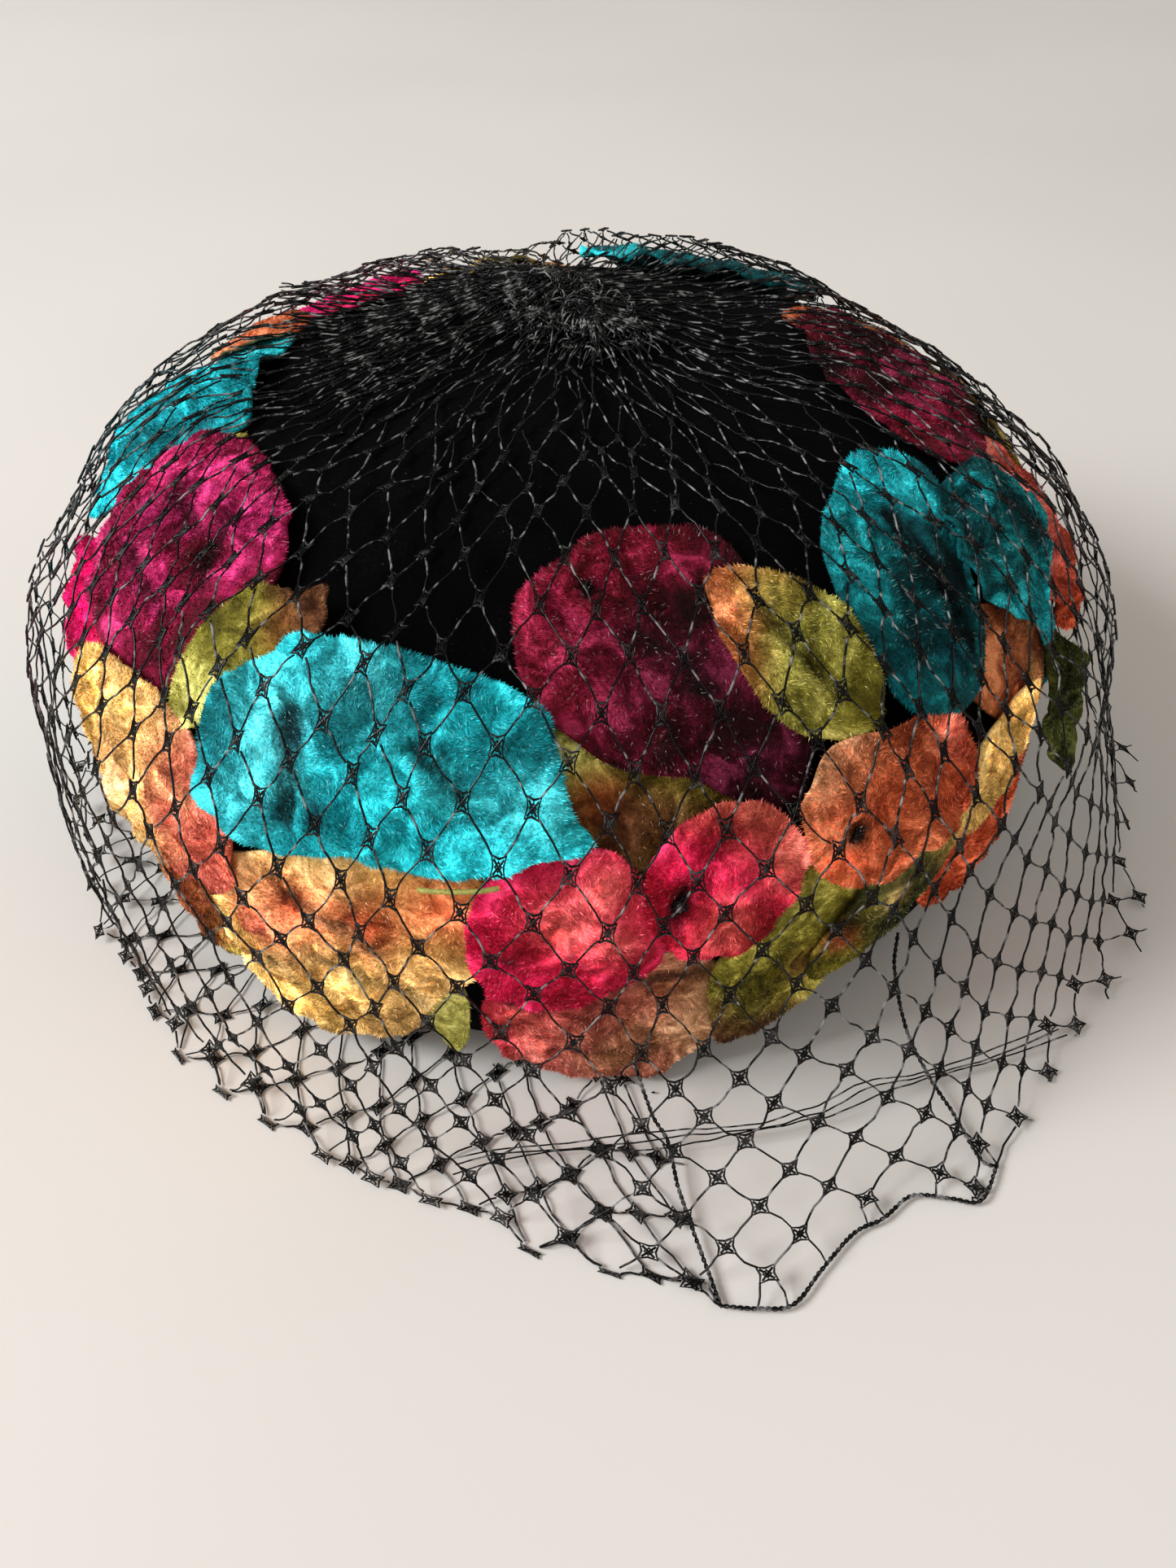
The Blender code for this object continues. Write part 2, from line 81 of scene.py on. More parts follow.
# Rumples at a petal's edge: their size and rise
EDGE_BUMPS = (9.0, 0.5)
# Crease along the middle: the share of the swelling that it takes, and its share of the width
CREASE_SHARE = 0.7
CREASE_WIDTH = 0.22
# Ribs of a leaf: rise, spacing and slant; its middle vein: depth and width
RIB_RISE = 0.20
RIB_SPACING = 3.1
RIB_SLANT = 0.75
VEIN_DEPTH = 0.5
VEIN_WIDTH = 0.9
# No face of a petal sinks further under its seat than this
DEEPEST = 0.55
# Small waves of an outline: how many go round, their shift from petal to petal and their height.
# Petals with no waves of their own have the plain ones too.
EDGE_LOBES = ((9, 3, 0.010), (17, 5, 0.006))
PLAIN_LOBES = ((3, 1, 0.018), (5, 2, 0.014))
# A petal's three colours pass into each other from this share of its half length, over that much
COLOR_START = 0.15
COLOR_FADE = 0.7
# The velvet's sheen, and its painted glints, are its colour made paler: the share of the colour, and the
# light added
TINT_SHARE = 0.7
TINT_LIGHT = 0.32
# The pile swirls in patches of a size, by up to this part of half a turn
SWIRL_SIZE = 11.0
SWIRL_REACH = 1.6
# Painted shade in creases and dents: it darkens the colour by this share where they are this deep
CREASE_PAINTED_SHADE = 0.88
FOLD_FULL = 1.5

# Control rows of the veil: height, and the share of the gather's offset that a row takes
VEIL_ROWS = ((117.0, 0.65), (104.0, 0.42), (92.0, 0.22), (82.0, 0.08), (74.0, 0.0), (66.0, 0.0),
             (58.0, 0.0), (50.0, 0.0), (43.0, 0.0), (37.0, 0.0))
# Cut edge of the veil: azimuth, radius, height
VEIL_EDGE = ((-180, 104, 8.0), (-110, 105, 7.0), (-70, 105, 4.0), (-50, 107, 1.4),
             (-30, 111, 1.2), (-10, 116, 1.2), (2, 123, 1.2), (9, 130, 1.0), (14, 133, 1.0),
             (20, 126.3, 1.0), (25, 124.6, 1.0), (29, 128.5, 1.0), (33, 126.5, 1.2),
             (45, 120, 1.4), (62, 118.5, 3.0), (80, 116, 6.0), (110, 109, 9.0), (180, 104, 8.0))
GATHER_CENTER = (-3.0, 17.0)
GATHER_TURN = 118.0
GATHER_HALVES = (20.0, 10.0)
# The gather's loops stand on a mound that reaches past its halves: rings and sectors of its grid,
# how far past, its seat over the crown and its rise
MOUND_GRID = (6, 24)
MOUND_HEM = (4.0, 2.0)
MOUND_SEAT = 0.8
MOUND_RISE = 2.6
# At the left a second layer of the net lies near the top: azimuths, and reach from the gather
SECOND_LAYER_SPAN = (-165.0, -35.0)
SECOND_LAYER_REACH = 50.0
# Nothing of the net lies lower over the table than this
TABLE_GAP = 0.4
# The first points of a line of the veil: shares of the gather's halves, and rise over the dome
GATHER_ROWS = ((0.62, 0.10, 4.6), (0.86, 0.7, 3.4))
# The net lies this far over the petals, and slopes down beside them over a distance
NET_CLEARANCE = 1.1
NET_SLOPE = 9.0
# Under a height it bulges out from the crown, more over a fall of height
BULGE = 11.8
BULGE_HEIGHT = 70.0
BULGE_FALL = 24.0
# Behind the gather it stands up in a loose ridge: rise, lowest height, and height to reach it
RIDGE = (1.6, 84.0, 20.0)
# Between two azimuths the net is folded under itself as far as a radius
FOLD_ENDS = (-122.0, 10.0)
FOLD_RADIUS = 87.0
# Slow and quick drift of the knots: size of its patches and reach
SLOW_DRIFT = (17.0, 1.6)
QUICK_DRIFT = (4.0, 0.7)
# Near the middle of the gather the quick drift grows by this much
LOOSE_DRIFT = 2.3
# Seed of both drifts
DRIFT_SEED = 1
# A knot drifts this much less toward or from the hat than along it
FLAT_SHARE = 0.6
# Strands bunch together by up to this many degrees
BUNCHING = 1.3
# The first knot's distance from the gather, and how much it varies
FIRST_KNOT = (1.5, 2.0)
# Diamonds close up to this share of their side
WIDEST_SHARE = 0.92
# The skirt is pulled wide, so its diamonds are flatter: by a share, from a radius on, over a width
SKIRT_PULL = (0.12, 98.0, 12.0)
# A strand that was cut off ends in a stub: its length, and how much it varies
STUB = (2.8, 1.5)
# Knots lower than this lie flat on the table
FLAT_LEVEL = 4.0
# A strand stops short of a knot's middle by this share of the knot
KNOT_REACH = 0.9
# A cut strand that ends nearer to the selvage than this is sewn into it
SEWN_REACH = 8.0

# The stage, in metres. A lamp has a place, a side, a power and a colour.
FLOOR_HALF = 3.0
LAMPS = (("window_light", (-1.8, -0.4, 1.4), 0.9, 53.0, (0.98, 0.995, 1.0)),
         ("front_fill", (-0.2, -1.8, 1.2), 1.2, 4.0, (1.0, 0.98, 0.96)))
ROOM_COLOR = (1.0, 0.945, 0.875)
ROOM_STRENGTH = 0.47
# The camera looks down at a place on the table from a distance
CAMERA_AIM = (0.003, -0.020)
CAMERA_DISTANCE = 0.25
CAMERA_ELEVATION = 44.0
LENS = 27.03


class Form(NamedTuple):
    point: float
    taper: float


FORMS = {
    "round": Form(0.86, 0.05),
    "oval": Form(0.90, 0.16),
    "drop": Form(0.95, 0.34),
    "leaf": Form(1.45, 0.0),
}


class Petal(NamedTuple):
    name: str
    azimuth: float
    height: float
    length: float
    width: float
    turn: float
    form: str
    layer: int
    puff: float
    lift: float
    slot: str
    colors: str
    shown: int


# The colours are those of the middle, of the start and of the end of the length axis
PETALS = tuple(Petal(*row) for row in (
    ("rose_tan_petal", 3.8, 18.9, 40, 35, 0, "round", 0, 1.2, 0, "rose", "rose crimson tan", 1),
    ("small_olive_leaf", -12.4, 21, 28, 8, -84, "leaf", 0, 0.2, 0, "olive", "lime lime lime", 1),
    ("olive_rust_leaf", -47.5, 20, 44, 25, -16, "leaf", 0, 0.8, 0.5, "rust", "rust olive olive", 1),
    ("pink_side_petal", -69, 49, 34, 29, 0, "round", 0, 1, 0, "pink", "pink pink hot_pink", 1),
    ("teal_back_left_petal", -96.5, 79.5, 47, 37, -8, "round", 0, 1.2, 0, "teal", "teal deep_teal teal", 1),
    ("olive_edge_leaf", -72, 79.5, 32, 9, 82, "leaf", 0, 0.3, 0, "olive", "olive olive lime", 1),
    ("olive_brown_leaf", 6.5, 61.5, 35, 23, -36, "leaf", 0, 0.8, 0, "brown", "olive olive brown", 1),
    ("rust_leaf", 54, 57, 36, 19, -42, "leaf", 0, 0.8, 0, "rust", "rust rust copper", 1),
    ("salmon_petal", 77.5, 64, 40, 27, 82, "round", 0, 1, 1, "salmon", "salmon red_orange salmon", 1),
    ("orange_low_petal", 51, 27.5, 42, 27, -12, "round", 0, 1, 0, "orange",
     "red_orange red_orange orange", 1),
    ("gold_orange_petal", -22.5, 28, 52, 41, 38, "round", 1, 1.4, 0, "gold", "peach gold gold", 1),
    ("dark_hanging_leaf", 64, 42, 34, 13, -80, "leaf", 1, 0.4, 4, "dark_olive",
     "dark_olive dark_olive dark_olive", 1),
    ("burgundy_petal", 12, 76.5, 48, 36, -51, "drop", 1, 1.2, 0, "burgundy", "burgundy plum dark_wine", 1),
    ("deep_teal_petal", 45.8, 78.5, 48, 30, 53, "round", 1, 1.3, 0, "deep_teal",
     "deep_teal deep_teal teal", 1),
    ("magenta_petal", -57.4, 76.5, 45, 36, 8, "round", 1, 1.3, 0, "magenta", "magenta magenta magenta", 1),
    ("wine_petal", 90.5, 94.5, 48, 29, 22, "round", 1, 0.7, 0, "wine", "burgundy plum burgundy", 1),
    ("olive_gold_leaf", 20, 27.5, 42, 23, 64, "leaf", 1, 0.8, 0, "olive", "olive brown olive", 1),
    ("gold_olive_leaf", 46.5, 44.5, 36, 15, 22, "leaf", 1, 0.6, 0, "gold", "gold copper gold", 1),
    ("peach_petal", -48.2, 44, 45, 30, -4, "round", 2, 1.2, 0, "peach", "peach gold salmon", 1),
    ("brown_tip_leaf", -35.5, 72.4, 32, 17, 62, "leaf", 2, 0.7, 0.5, "olive", "olive lime brown", 1),
    ("olive_right_leaf", 31.5, 35.5, 36, 15, 44, "leaf", 2, 0.5, 0, "olive", "dark_olive olive olive", 1),
    ("ribbed_leaf", 25, 76, 34, 19, -58, "leaf", 2, 0.9, 0.5, "olive", "lime copper olive", 1),
    ("small_teal_petal", 62.5, 71.5, 32, 29, -106, "drop", 2, 1.1, 0.5, "deep_teal",
     "deep_teal deep_teal teal", 1),
    ("hot_pink_petal", 0, 39.6, 29, 30, 8, "round", 2, 1.3, 0, "pink", "hot_pink hot_pink hot_pink", 1),
    ("teal_petal", -18, 62.2, 57, 31.5, -4, "oval", 3, 1.2, 0, "teal", "teal teal teal", 1),
    ("orange_petal", 32.6, 51.5, 32, 26, 4, "round", 3, 1.2, 0, "orange", "orange orange red_orange", 1),
    ("raspberry_petal", 14, 46.5, 25, 24, 50, "round", 3, 1.2, 0, "raspberry", "crimson crimson salmon", 1),
    ("pink_back_petal", -134, 89.5, 42, 33, 78, "round", 0, 1.2, 0, "pink", "pink pink hot_pink", 0),
    ("orange_back_leaf", -111, 86.5, 36, 18, 82, "leaf", 1, 0.6, 0, "orange", "orange tan orange", 0),
    ("gold_back_petal", -167, 75, 46, 36, 8, "round", 0, 1.2, 0, "gold", "gold orange gold", 0),
    ("teal_back_petal", 155, 88, 54, 40, 4, "round", 1, 1.3, 0, "teal", "deep_teal deep_teal teal", 0),
    ("olive_back_leaf", 113, 87.5, 42, 21, 78, "leaf", 0, 0.7, 0, "dark_olive", "copper olive orange", 0),
    ("teal_low_petal", -91, 32, 42, 34, 6, "round", 0, 1.2, 0, "teal", "teal light_teal deep_teal", 0),
    ("raspberry_low_petal", -115, 40, 46, 40, -8, "round", 1, 1.3, 0, "raspberry",
     "crimson hot_pink crimson", 0),
    ("gold_low_petal", -144, 35, 48, 38, 10, "round", 0, 1.2, 0, "peach", "peach gold orange", 0),
    ("burgundy_low_petal", -174, 33, 48, 36, -6, "round", 1, 1.3, 0, "burgundy",
     "burgundy plum burgundy", 0),
    ("orange_back_petal", 157, 42, 44, 36, 12, "round", 0, 1.2, 0, "orange", "orange gold red_orange", 0),
    ("pink_low_petal", 129, 36, 46, 38, -10, "round", 1, 1.3, 0, "pink", "hot_pink salmon hot_pink", 0),
    ("olive_low_leaf", 105, 46, 50, 25, 64, "leaf", 1, 0.9, 0, "olive", "olive lime brown", 0),
    ("teal_side_petal", 86, 25, 42, 34, -8, "round", 0, 1.2, 0, "deep_teal", "deep_teal teal deep_teal", 0),
))

# Spots of colour on a petal, mostly sprayed dye, some painted highlight and painted shade as noted below:
# azimuth, height, reach, colour and strength
DYE_AND_LIGHTING_SPOTS = {
    # Teal petal: light teal spots are painted highlight, most at its left and top; the dark teal spot is
    # painted shade in its crease; the deep teal spots are painted shade in its right crease and at its
    # right end
    "teal_petal": (
        (-30.1, 64.7, 6.1, "light_teal", 0.8), (-19.8, 72.5, 6.5, "light_teal", 0.8),
        (-29.9, 55.0, 5.5, "light_teal", 0.7), (-3.7, 62.3, 6.5, "light_teal", 0.35),
        (-25.5, 64.2, 3.2, "dark_teal", 0.9), (-10.6, 62.8, 4.3, "deep_teal", 0.7),
        (-0.3, 59.6, 4.3, "deep_teal", 0.6)),
    # Burgundy petal: plum spots are painted highlight at its top and left, dark wine spots painted shade in
    # its crease and at its lower right
    "burgundy_petal": (
        (-3.2, 91.2, 5.8, "plum", 0.8), (7.5, 97.1, 6.5, "plum", 0.6), (-0.4, 74.4, 6.5, "plum", 0.7),
        (14.1, 78.3, 7.2, "dark_wine", 0.7), (17.9, 67.1, 8.0, "dark_wine", 0.8),
        (19.5, 60.6, 5.8, "dark_wine", 0.8)),
    # Magenta petal: bright magenta spots are painted highlight along its top and left, plum spots painted
    # shade in its crease and at its lower right
    "magenta_petal": (
        (-60.8, 85.2, 5.8, "bright_magenta", 0.8), (-46.3, 88.1, 5.1, "bright_magenta", 0.6),
        (-62.2, 75.2, 5.8, "bright_magenta", 0.6), (-47.9, 77.9, 3.2, "plum", 0.8),
        (-47.0, 67.9, 4.3, "plum", 0.6)),
    # Deep teal petal: teal spots are painted highlight at its top and left side, dark teal spots painted
    # shade along its creases
    "deep_teal_petal": (
        (48.9, 91.8, 6.5, "teal", 0.9), (36.8, 84.1, 5.1, "teal", 0.5), (34.7, 65.7, 5.1, "teal", 0.6),
        (47.5, 76.8, 3.5, "dark_teal", 0.8), (50.1, 84.1, 2.9, "dark_teal", 0.5),
        (43.7, 66.4, 4.3, "dark_teal", 0.6)),
    "small_teal_petal": (
        (60.1, 79.0, 4.1, "teal", 0.5), (58.6, 68.2, 4.3, "deep_teal", 0.5)),
    "brown_tip_leaf": (
        (-38.4, 63.7, 4.6, "lime", 0.8), (-29.7, 79.3, 4.3, "brown", 0.8),
        (-32.2, 75.4, 3.6, "copper", 0.4), (-35.9, 73.7, 3.8, "lime", 0.4)),
    "olive_brown_leaf": (
        (-2.7, 69.5, 5.0, "lime", 0.9), (1.1, 66.6, 5.0, "lime", 0.7), (5.5, 63.9, 5.0, "olive", 0.9),
        (9.9, 63.3, 5.0, "olive", 0.8), (1.4, 59.0, 4.5, "copper", 0.7), (5.7, 58.1, 5.0, "brown", 0.9),
        (4.9, 54.4, 5.5, "brown", 0.95), (9.6, 57.5, 5.0, "brown", 0.8),
        (3.2, 61.0, 3.0, "copper", 0.8)),
    "ribbed_leaf": (
        (17.9, 83.5, 4.1, "copper", 0.9), (17.5, 77.0, 3.5, "copper", 0.9),
        (18.2, 72.8, 3.2, "copper", 0.5), (25.1, 83.9, 4.3, "lime", 0.6),
        (27.9, 70.6, 5.8, "olive", 0.6), (23.1, 66.5, 4.3, "lime", 0.4)),
    "hot_pink_petal": (
        (-0.4, 44.1, 5.5, "salmon", 0.65), (3.7, 49.5, 4.5, "salmon", 0.6),
        (4.6, 39.7, 4.0, "salmon", 0.6), (0.9, 32.2, 5.0, "crimson", 0.6)),
    "raspberry_petal": (
        (18.3, 55.8, 3.5, "salmon", 0.7), (10.2, 53.5, 5.0, "hot_pink", 0.7),
        (15.6, 50.1, 5.0, "hot_pink", 0.6), (19.5, 51.8, 3.2, "salmon", 0.6),
        (13.9, 42.7, 4.0, "salmon", 0.5)),
    "orange_petal": (
        (21.8, 61.5, 5.8, "tan", 0.9), (26.9, 63.6, 4.6, "tan", 0.7), (23.6, 54.0, 4.6, "orange", 0.8),
        (37.7, 58.8, 4.0, "salmon", 0.7), (28.9, 54.7, 5.5, "red_orange", 0.6),
        (24.5, 46.5, 4.5, "red_orange", 0.8), (35.7, 50.8, 4.5, "red_orange", 0.6)),
    "rose_tan_petal": (
        (-7.3, 27.0, 5.0, "crimson", 0.9), (-4.5, 16.9, 5.0, "salmon", 0.5),
        (0.1, 24.9, 5.0, "crimson", 0.4), (4.8, 7.6, 6.0, "tan", 0.8), (9.9, 26.1, 5.0, "copper", 0.5),
        (12.8, 21.6, 5.0, "tan", 0.8), (8.7, 13.4, 6.5, "tan", 0.9), (-4.0, 6.5, 4.5, "rose", 0.7)),
    "gold_orange_petal": (
        (-30.2, 40.8, 5.0, "peach", 0.8), (-24.4, 45.8, 5.0, "gold", 0.6),
        (-20.6, 23.7, 6.0, "gold", 0.9), (-25.5, 11.5, 5.0, "gold", 0.9),
        (-30.3, 16.3, 4.5, "peach", 0.6), (-26.6, 36.4, 6.5, "red_orange", 0.95),
        (-18.5, 38.0, 7.5, "red_orange", 0.95), (-10.7, 43.7, 7.5, "red_orange", 0.95),
        (-31.6, 27.5, 6.0, "salmon", 0.85), (-14.0, 33.2, 4.0, "gold", 0.4),
        (-20.0, 43.5, 3.0, "peach", 0.5)),
    "peach_petal": (
        (-47.4, 56.5, 4.3, "gold", 0.9), (-41.1, 57.5, 3.8, "peach", 0.6),
        (-51.3, 41.1, 4.3, "salmon", 0.4), (-39.7, 42.1, 4.6, "salmon", 0.7),
        (-32.5, 42.4, 4.3, "red_orange", 0.5)),
    "olive_rust_leaf": (
        (-51.2, 21.4, 2.6, "red_orange", 0.8), (-46.6, 18.0, 2.6, "rust", 0.8),
        (-60.4, 16.7, 2.6, "rust", 0.6), (-42.2, 26.0, 2.3, "olive", 0.5),
        (-40.1, 13.7, 2.9, "rust", 0.7)),
    "olive_gold_leaf": (
        (20.7, 40.5, 4.5, "lime", 0.4), (17.4, 17.3, 4.0, "lime", 0.4),
        (23.6, 25.1, 4.0, "copper", 0.4)),
    "olive_right_leaf": (
        (25.9, 31.1, 3.2, "crimson", 0.6), (28.2, 34.6, 2.9, "olive", 0.8),
        (34.9, 43.3, 3.5, "lime", 0.6), (32.0, 34.6, 2.6, "gold", 0.6), (38.5, 40.0, 4.0, "gold", 0.5)),
    "gold_olive_leaf": (
        (47.2, 48.8, 3.8, "gold", 0.5), (40.6, 43.3, 3.8, "lime", 0.5), (52.6, 50.9, 2.9, "gold", 0.8)),
    "orange_low_petal": (
        (56.2, 30.0, 3.8, "orange", 0.7), (48.6, 21.8, 4.1, "red_orange", 0.8)),
    "rust_leaf": (
        (51.3, 61.4, 3.2, "rust", 0.8), (58.0, 51.5, 2.9, "gold", 0.5),
        (58.0, 58.7, 2.9, "copper", 0.7)),
    "salmon_petal": (
        (82.6, 58.3, 3.8, "salmon", 0.8), (77.5, 53.3, 3.2, "red_orange", 0.7),
        (88.5, 71.3, 3.5, "salmon", 0.6)),
    # Teal petal at the back left: light teal spots are painted highlight at its top, the deep teal spot
    # painted shade at its lower right
    "teal_back_left_petal": (
        (-102.2, 85.1, 5.8, "light_teal", 0.25), (-95.6, 68.7, 4.9, "teal", 0.5),
        (-85.2, 62.8, 3.8, "deep_teal", 0.6), (-110.9, 86.8, 3.2, "light_teal", 0.3)),
    "wine_petal": (
        (102.1, 105.6, 4.9, "plum", 0.8), (80.0, 98.9, 4.3, "dark_wine", 0.5),
        (76.1, 84.4, 4.1, "dark_wine", 0.6)),
    "gold_back_petal": (
        (-167.0, 86.0, 9.0, "dark_olive", 0.97),),
    "pink_side_petal": (
        (-74.9, 52.2, 4.3, "hot_pink", 0.7), (-67.8, 43.4, 3.8, "salmon", 0.6)),
}

# Outlines that stray from their form: mean, then the cosine and sine of each wave round
WAVES = {
    "orange_back_leaf": (-0.22, 0.0, 0.14),
    "pink_back_petal": (-0.14, -0.10, 0.0),
    "gold_back_petal": (-0.18, 0.0, -0.34),
    "dark_hanging_leaf": (-0.14, 0.0, 0.0, 0.22, 0.0),
    "teal_back_petal": (-0.06, 0.0, -0.16),
    "teal_petal": (-0.08,),
    "burgundy_petal": (-0.06,),
    "ribbed_leaf": (-0.11,),
    "deep_teal_petal": (-0.08,),
    "small_teal_petal": (-0.16,),
    "magenta_petal": (0.03,),
    "brown_tip_leaf": (-0.12,),
    "gold_orange_petal": (-0.06,),
    "hot_pink_petal": (-0.06,),
    "raspberry_petal": (-0.13, 0.13, 0.18),
    "orange_petal": (-0.14,),
    "olive_gold_leaf": (0.0,),
    "wine_petal": (-0.06,),
    "rose_tan_petal": (-0.050, 0.080, -0.080, 0.040, 0.050, -0.040, 0.0, 0.030, 0.0),
}

# Corners and hollows of an outline: direction, spread and how much further out it reaches
CORNERS = {
    "teal_petal": ((-138, 18, 0.20), (-85, 24, -0.22), (-14, 10, 0.22), (56, 26, 0.15),
                   (150, 26, -0.14)),
    "burgundy_petal": ((-55, 28, -0.18), (-15, 26, 0.08), (110, 18, 0.10)),
    "ribbed_leaf": ((-75, 28, 0.16), (45, 20, 0.04)),
    "deep_teal_petal": ((-85, 26, -0.32), (-30, 14, 0.08), (85, 22, 0.10), (140, 18, -0.10)),
    "small_teal_petal": ((-72, 24, 0.38), (-14, 13, 0.22), (40, 34, -0.24), (108, 16, 0.12)),
    "wine_petal": ((-88, 32, -0.29), (90, 28, 0.17), (178, 24, 0.18)),
    "magenta_petal": ((-58, 26, 0.28), (-2, 22, 0.08), (101, 25, 0.06), (155, 18, -0.22)),
    "brown_tip_leaf": ((-55, 24, 0.20), (-19, 14, 0.14), (15, 42, -0.32), (95, 25, -0.08),
                       (180, 34, 0.24)),
    "gold_orange_petal": ((-60, 26, -0.19), (-30, 20, 0.10), (4, 26, 0.30), (112, 25, 0.10),
                          (180, 34, 0.12)),
    "hot_pink_petal": ((-62, 30, -0.22), (70, 36, 0.15)),
    "orange_petal": ((-80, 42, -0.34), (0, 30, -0.10), (140, 30, 0.32), (180, 24, 0.22)),
    "olive_gold_leaf": ((-60, 36, 0.22), (20, 26, 0.08), (90, 18, -0.06), (135, 34, -0.22),
                        (180, 20, -0.06)),
    "peach_petal": ((-33, 24, 0.12), (5, 22, 0.13), (66, 26, 0.22)),
    "rust_leaf": ((-148, 26, 0.24),),
    "olive_brown_leaf": ((-150, 30, 0.12), (0, 25, 0.15)),
    "teal_back_left_petal": ((-27, 24, 0.36), (48, 30, 0.36)),
}

# Petals that stand off the crown along one long edge: how far at their left and right edge
STAND_OFF = {
    "dark_hanging_leaf": (0.0, 5.0),
    "salmon_petal": (0.0, 6.0),
    "teal_back_left_petal": (2.5, 2.5),
    "pink_side_petal": (2.5, 2.5),
}


# Creases pressed into a petal, from one azimuth and height to another, with width and depth; their depth
# also darkens the colour as painted shade. Where both ends are one place it is a dent that a stitch holds
# down.
FOLDS = {
    "burgundy_petal": (
        (2.6, 89.3, 2.6, 89.3, 1.6, 1.8), (8.0, 82.0, 15.0, 74.0, 2.0, 1.1)),
    "peach_petal": (
        (-57.0, 41.2, -57.0, 41.2, 1.5, 1.7),),
    "gold_orange_petal": (
        (-31.1, 18.7, -31.1, 18.7, 1.4, 1.6), (-27.0, 38.0, -18.0, 33.5, 1.8, 1.0),
        (-24.0, 26.0, -14.0, 22.0, 1.6, 0.8)),
    "hot_pink_petal": (
        (-5.0, 37.1, -5.0, 37.1, 1.3, 1.5),),
    "rose_tan_petal": (
        (-5.6, 22.6, -0.4, 23.6, 1.5, 1.7), (4.0, 27.5, 12.5, 28.5, 1.6, 1.2)),
    "raspberry_petal": (
        (9.4, 47.0, 9.4, 47.0, 1.5, 1.8), (9.0, 44.6, 9.9, 49.5, 1.0, 1.2)),
    "orange_petal": (
        (25.8, 51.2, 25.8, 51.2, 1.8, 2.2),),
    "teal_petal": (
        (-26.2, 66.4, -25.0, 54.0, 1.7, 2.4), (-24.0, 60.0, -21.5, 55.0, 1.4, 1.2),
        (-13.5, 66.0, -9.5, 60.5, 1.8, 1.2)),
    "deep_teal_petal": (
        (48.5, 88.0, 46.5, 66.0, 1.8, 2.0), (52.0, 82.0, 49.5, 70.0, 1.6, 1.4)),
    "magenta_petal": (
        (-50.5, 86.0, -46.5, 76.0, 1.6, 1.5), (-62.0, 82.0, -53.0, 81.0, 1.5, 1.0),
        (-60.0, 71.0, -50.0, 69.0, 1.5, 1.1)),
    "ribbed_leaf": (
        (22.5, 82.0, 27.0, 69.0, 1.0, 0.9),),
}


def linear(hexcode):
    """A colour in linear light from its sRGB hex code."""
    values = (int(hexcode[i:i + 2], 16) / 255 for i in (1, 3, 5))
    return tuple(v / 12.92 if v <= 0.04045 else ((v + 0.055) / 1.055) ** 2.4 for v in values)


def color_choice(name, hexcode, description):
    """A colour property."""
    return FloatVectorProperty(name=name, description=description, default=linear(hexcode),
                               subtype="COLOR", size=3, min=0.0, max=1.0)


def length_choice(name, size, description):
    """A length property, with its default in millimetres."""
    return FloatProperty(name=name, description=description, default=size * MM, min=0.0,
                         unit="LENGTH", precision=5)


class HatColors(bpy.types.PropertyGroup):
    """Dye colours of the velvet, some also used as painted highlight and shade, and the colours of the
    crown and the net
    """

    crown: color_choice("Crown", "#020203", "Pile of the crown")
    net: color_choice("Net", "#020304", "Thread of the veil")
    # Light teal is painted highlight on the teal petals, and the pale dye at one end of a hidden teal petal
    light_teal: color_choice("Light teal", "#5fdbe2", "Highlight teal")
    teal: color_choice("Teal", "#1cb0ba", "Teal petals")
    deep_teal: color_choice("Deep teal", "#075d61", "Darker teal petals")
    # Dark teal is painted shade, laid along the teal petals' creases
    dark_teal: color_choice("Dark teal", "#07414e", "Hollows of the teal petals")
    # Bright magenta is painted highlight on the magenta petal
    bright_magenta: color_choice("Bright magenta", "#c73079", "Highlight magenta")
    magenta: color_choice("Magenta", "#a11a50", "Magenta petal")
    plum: color_choice("Plum", "#7c112c", "Lighter part of the burgundy petals")
    burgundy: color_choice("Burgundy", "#540c1f", "Burgundy petals")
    dark_wine: color_choice("Dark wine", "#3a0819", "Darkest part of the burgundy petals")
    pink: color_choice("Pink", "#f01c84", "Pink petals")
    hot_pink: color_choice("Hot pink", "#e8265e", "Hot pink petals")
    crimson: color_choice("Crimson", "#c01c3c", "Crimson petals")
    rose: color_choice("Rose", "#d07868", "Rose petal")
    tan: color_choice("Tan", "#cc9970", "Tan end of the rose petal")
    salmon: color_choice("Salmon", "#ee8270", "Salmon parts")
    peach: color_choice("Peach", "#fdd592", "Peach petal")
    red_orange: color_choice("Red orange", "#d9663e", "Red end of the orange petals")
    orange: color_choice("Orange", "#d0734a", "Orange petals")
    gold: color_choice("Gold", "#fbd482", "Gold parts")
    copper: color_choice("Copper", "#c9794a", "Copper parts")
    rust: color_choice("Rust", "#a85c34", "Rust leaves")
    brown: color_choice("Brown", "#7b5034", "Brown tips")
    lime: color_choice("Lime", "#b8b25a", "Lighter part of the leaves")
    olive: color_choice("Olive", "#8f8630", "Olive leaves")
    dark_olive: color_choice("Dark olive", "#454a1c", "Dark leaves")


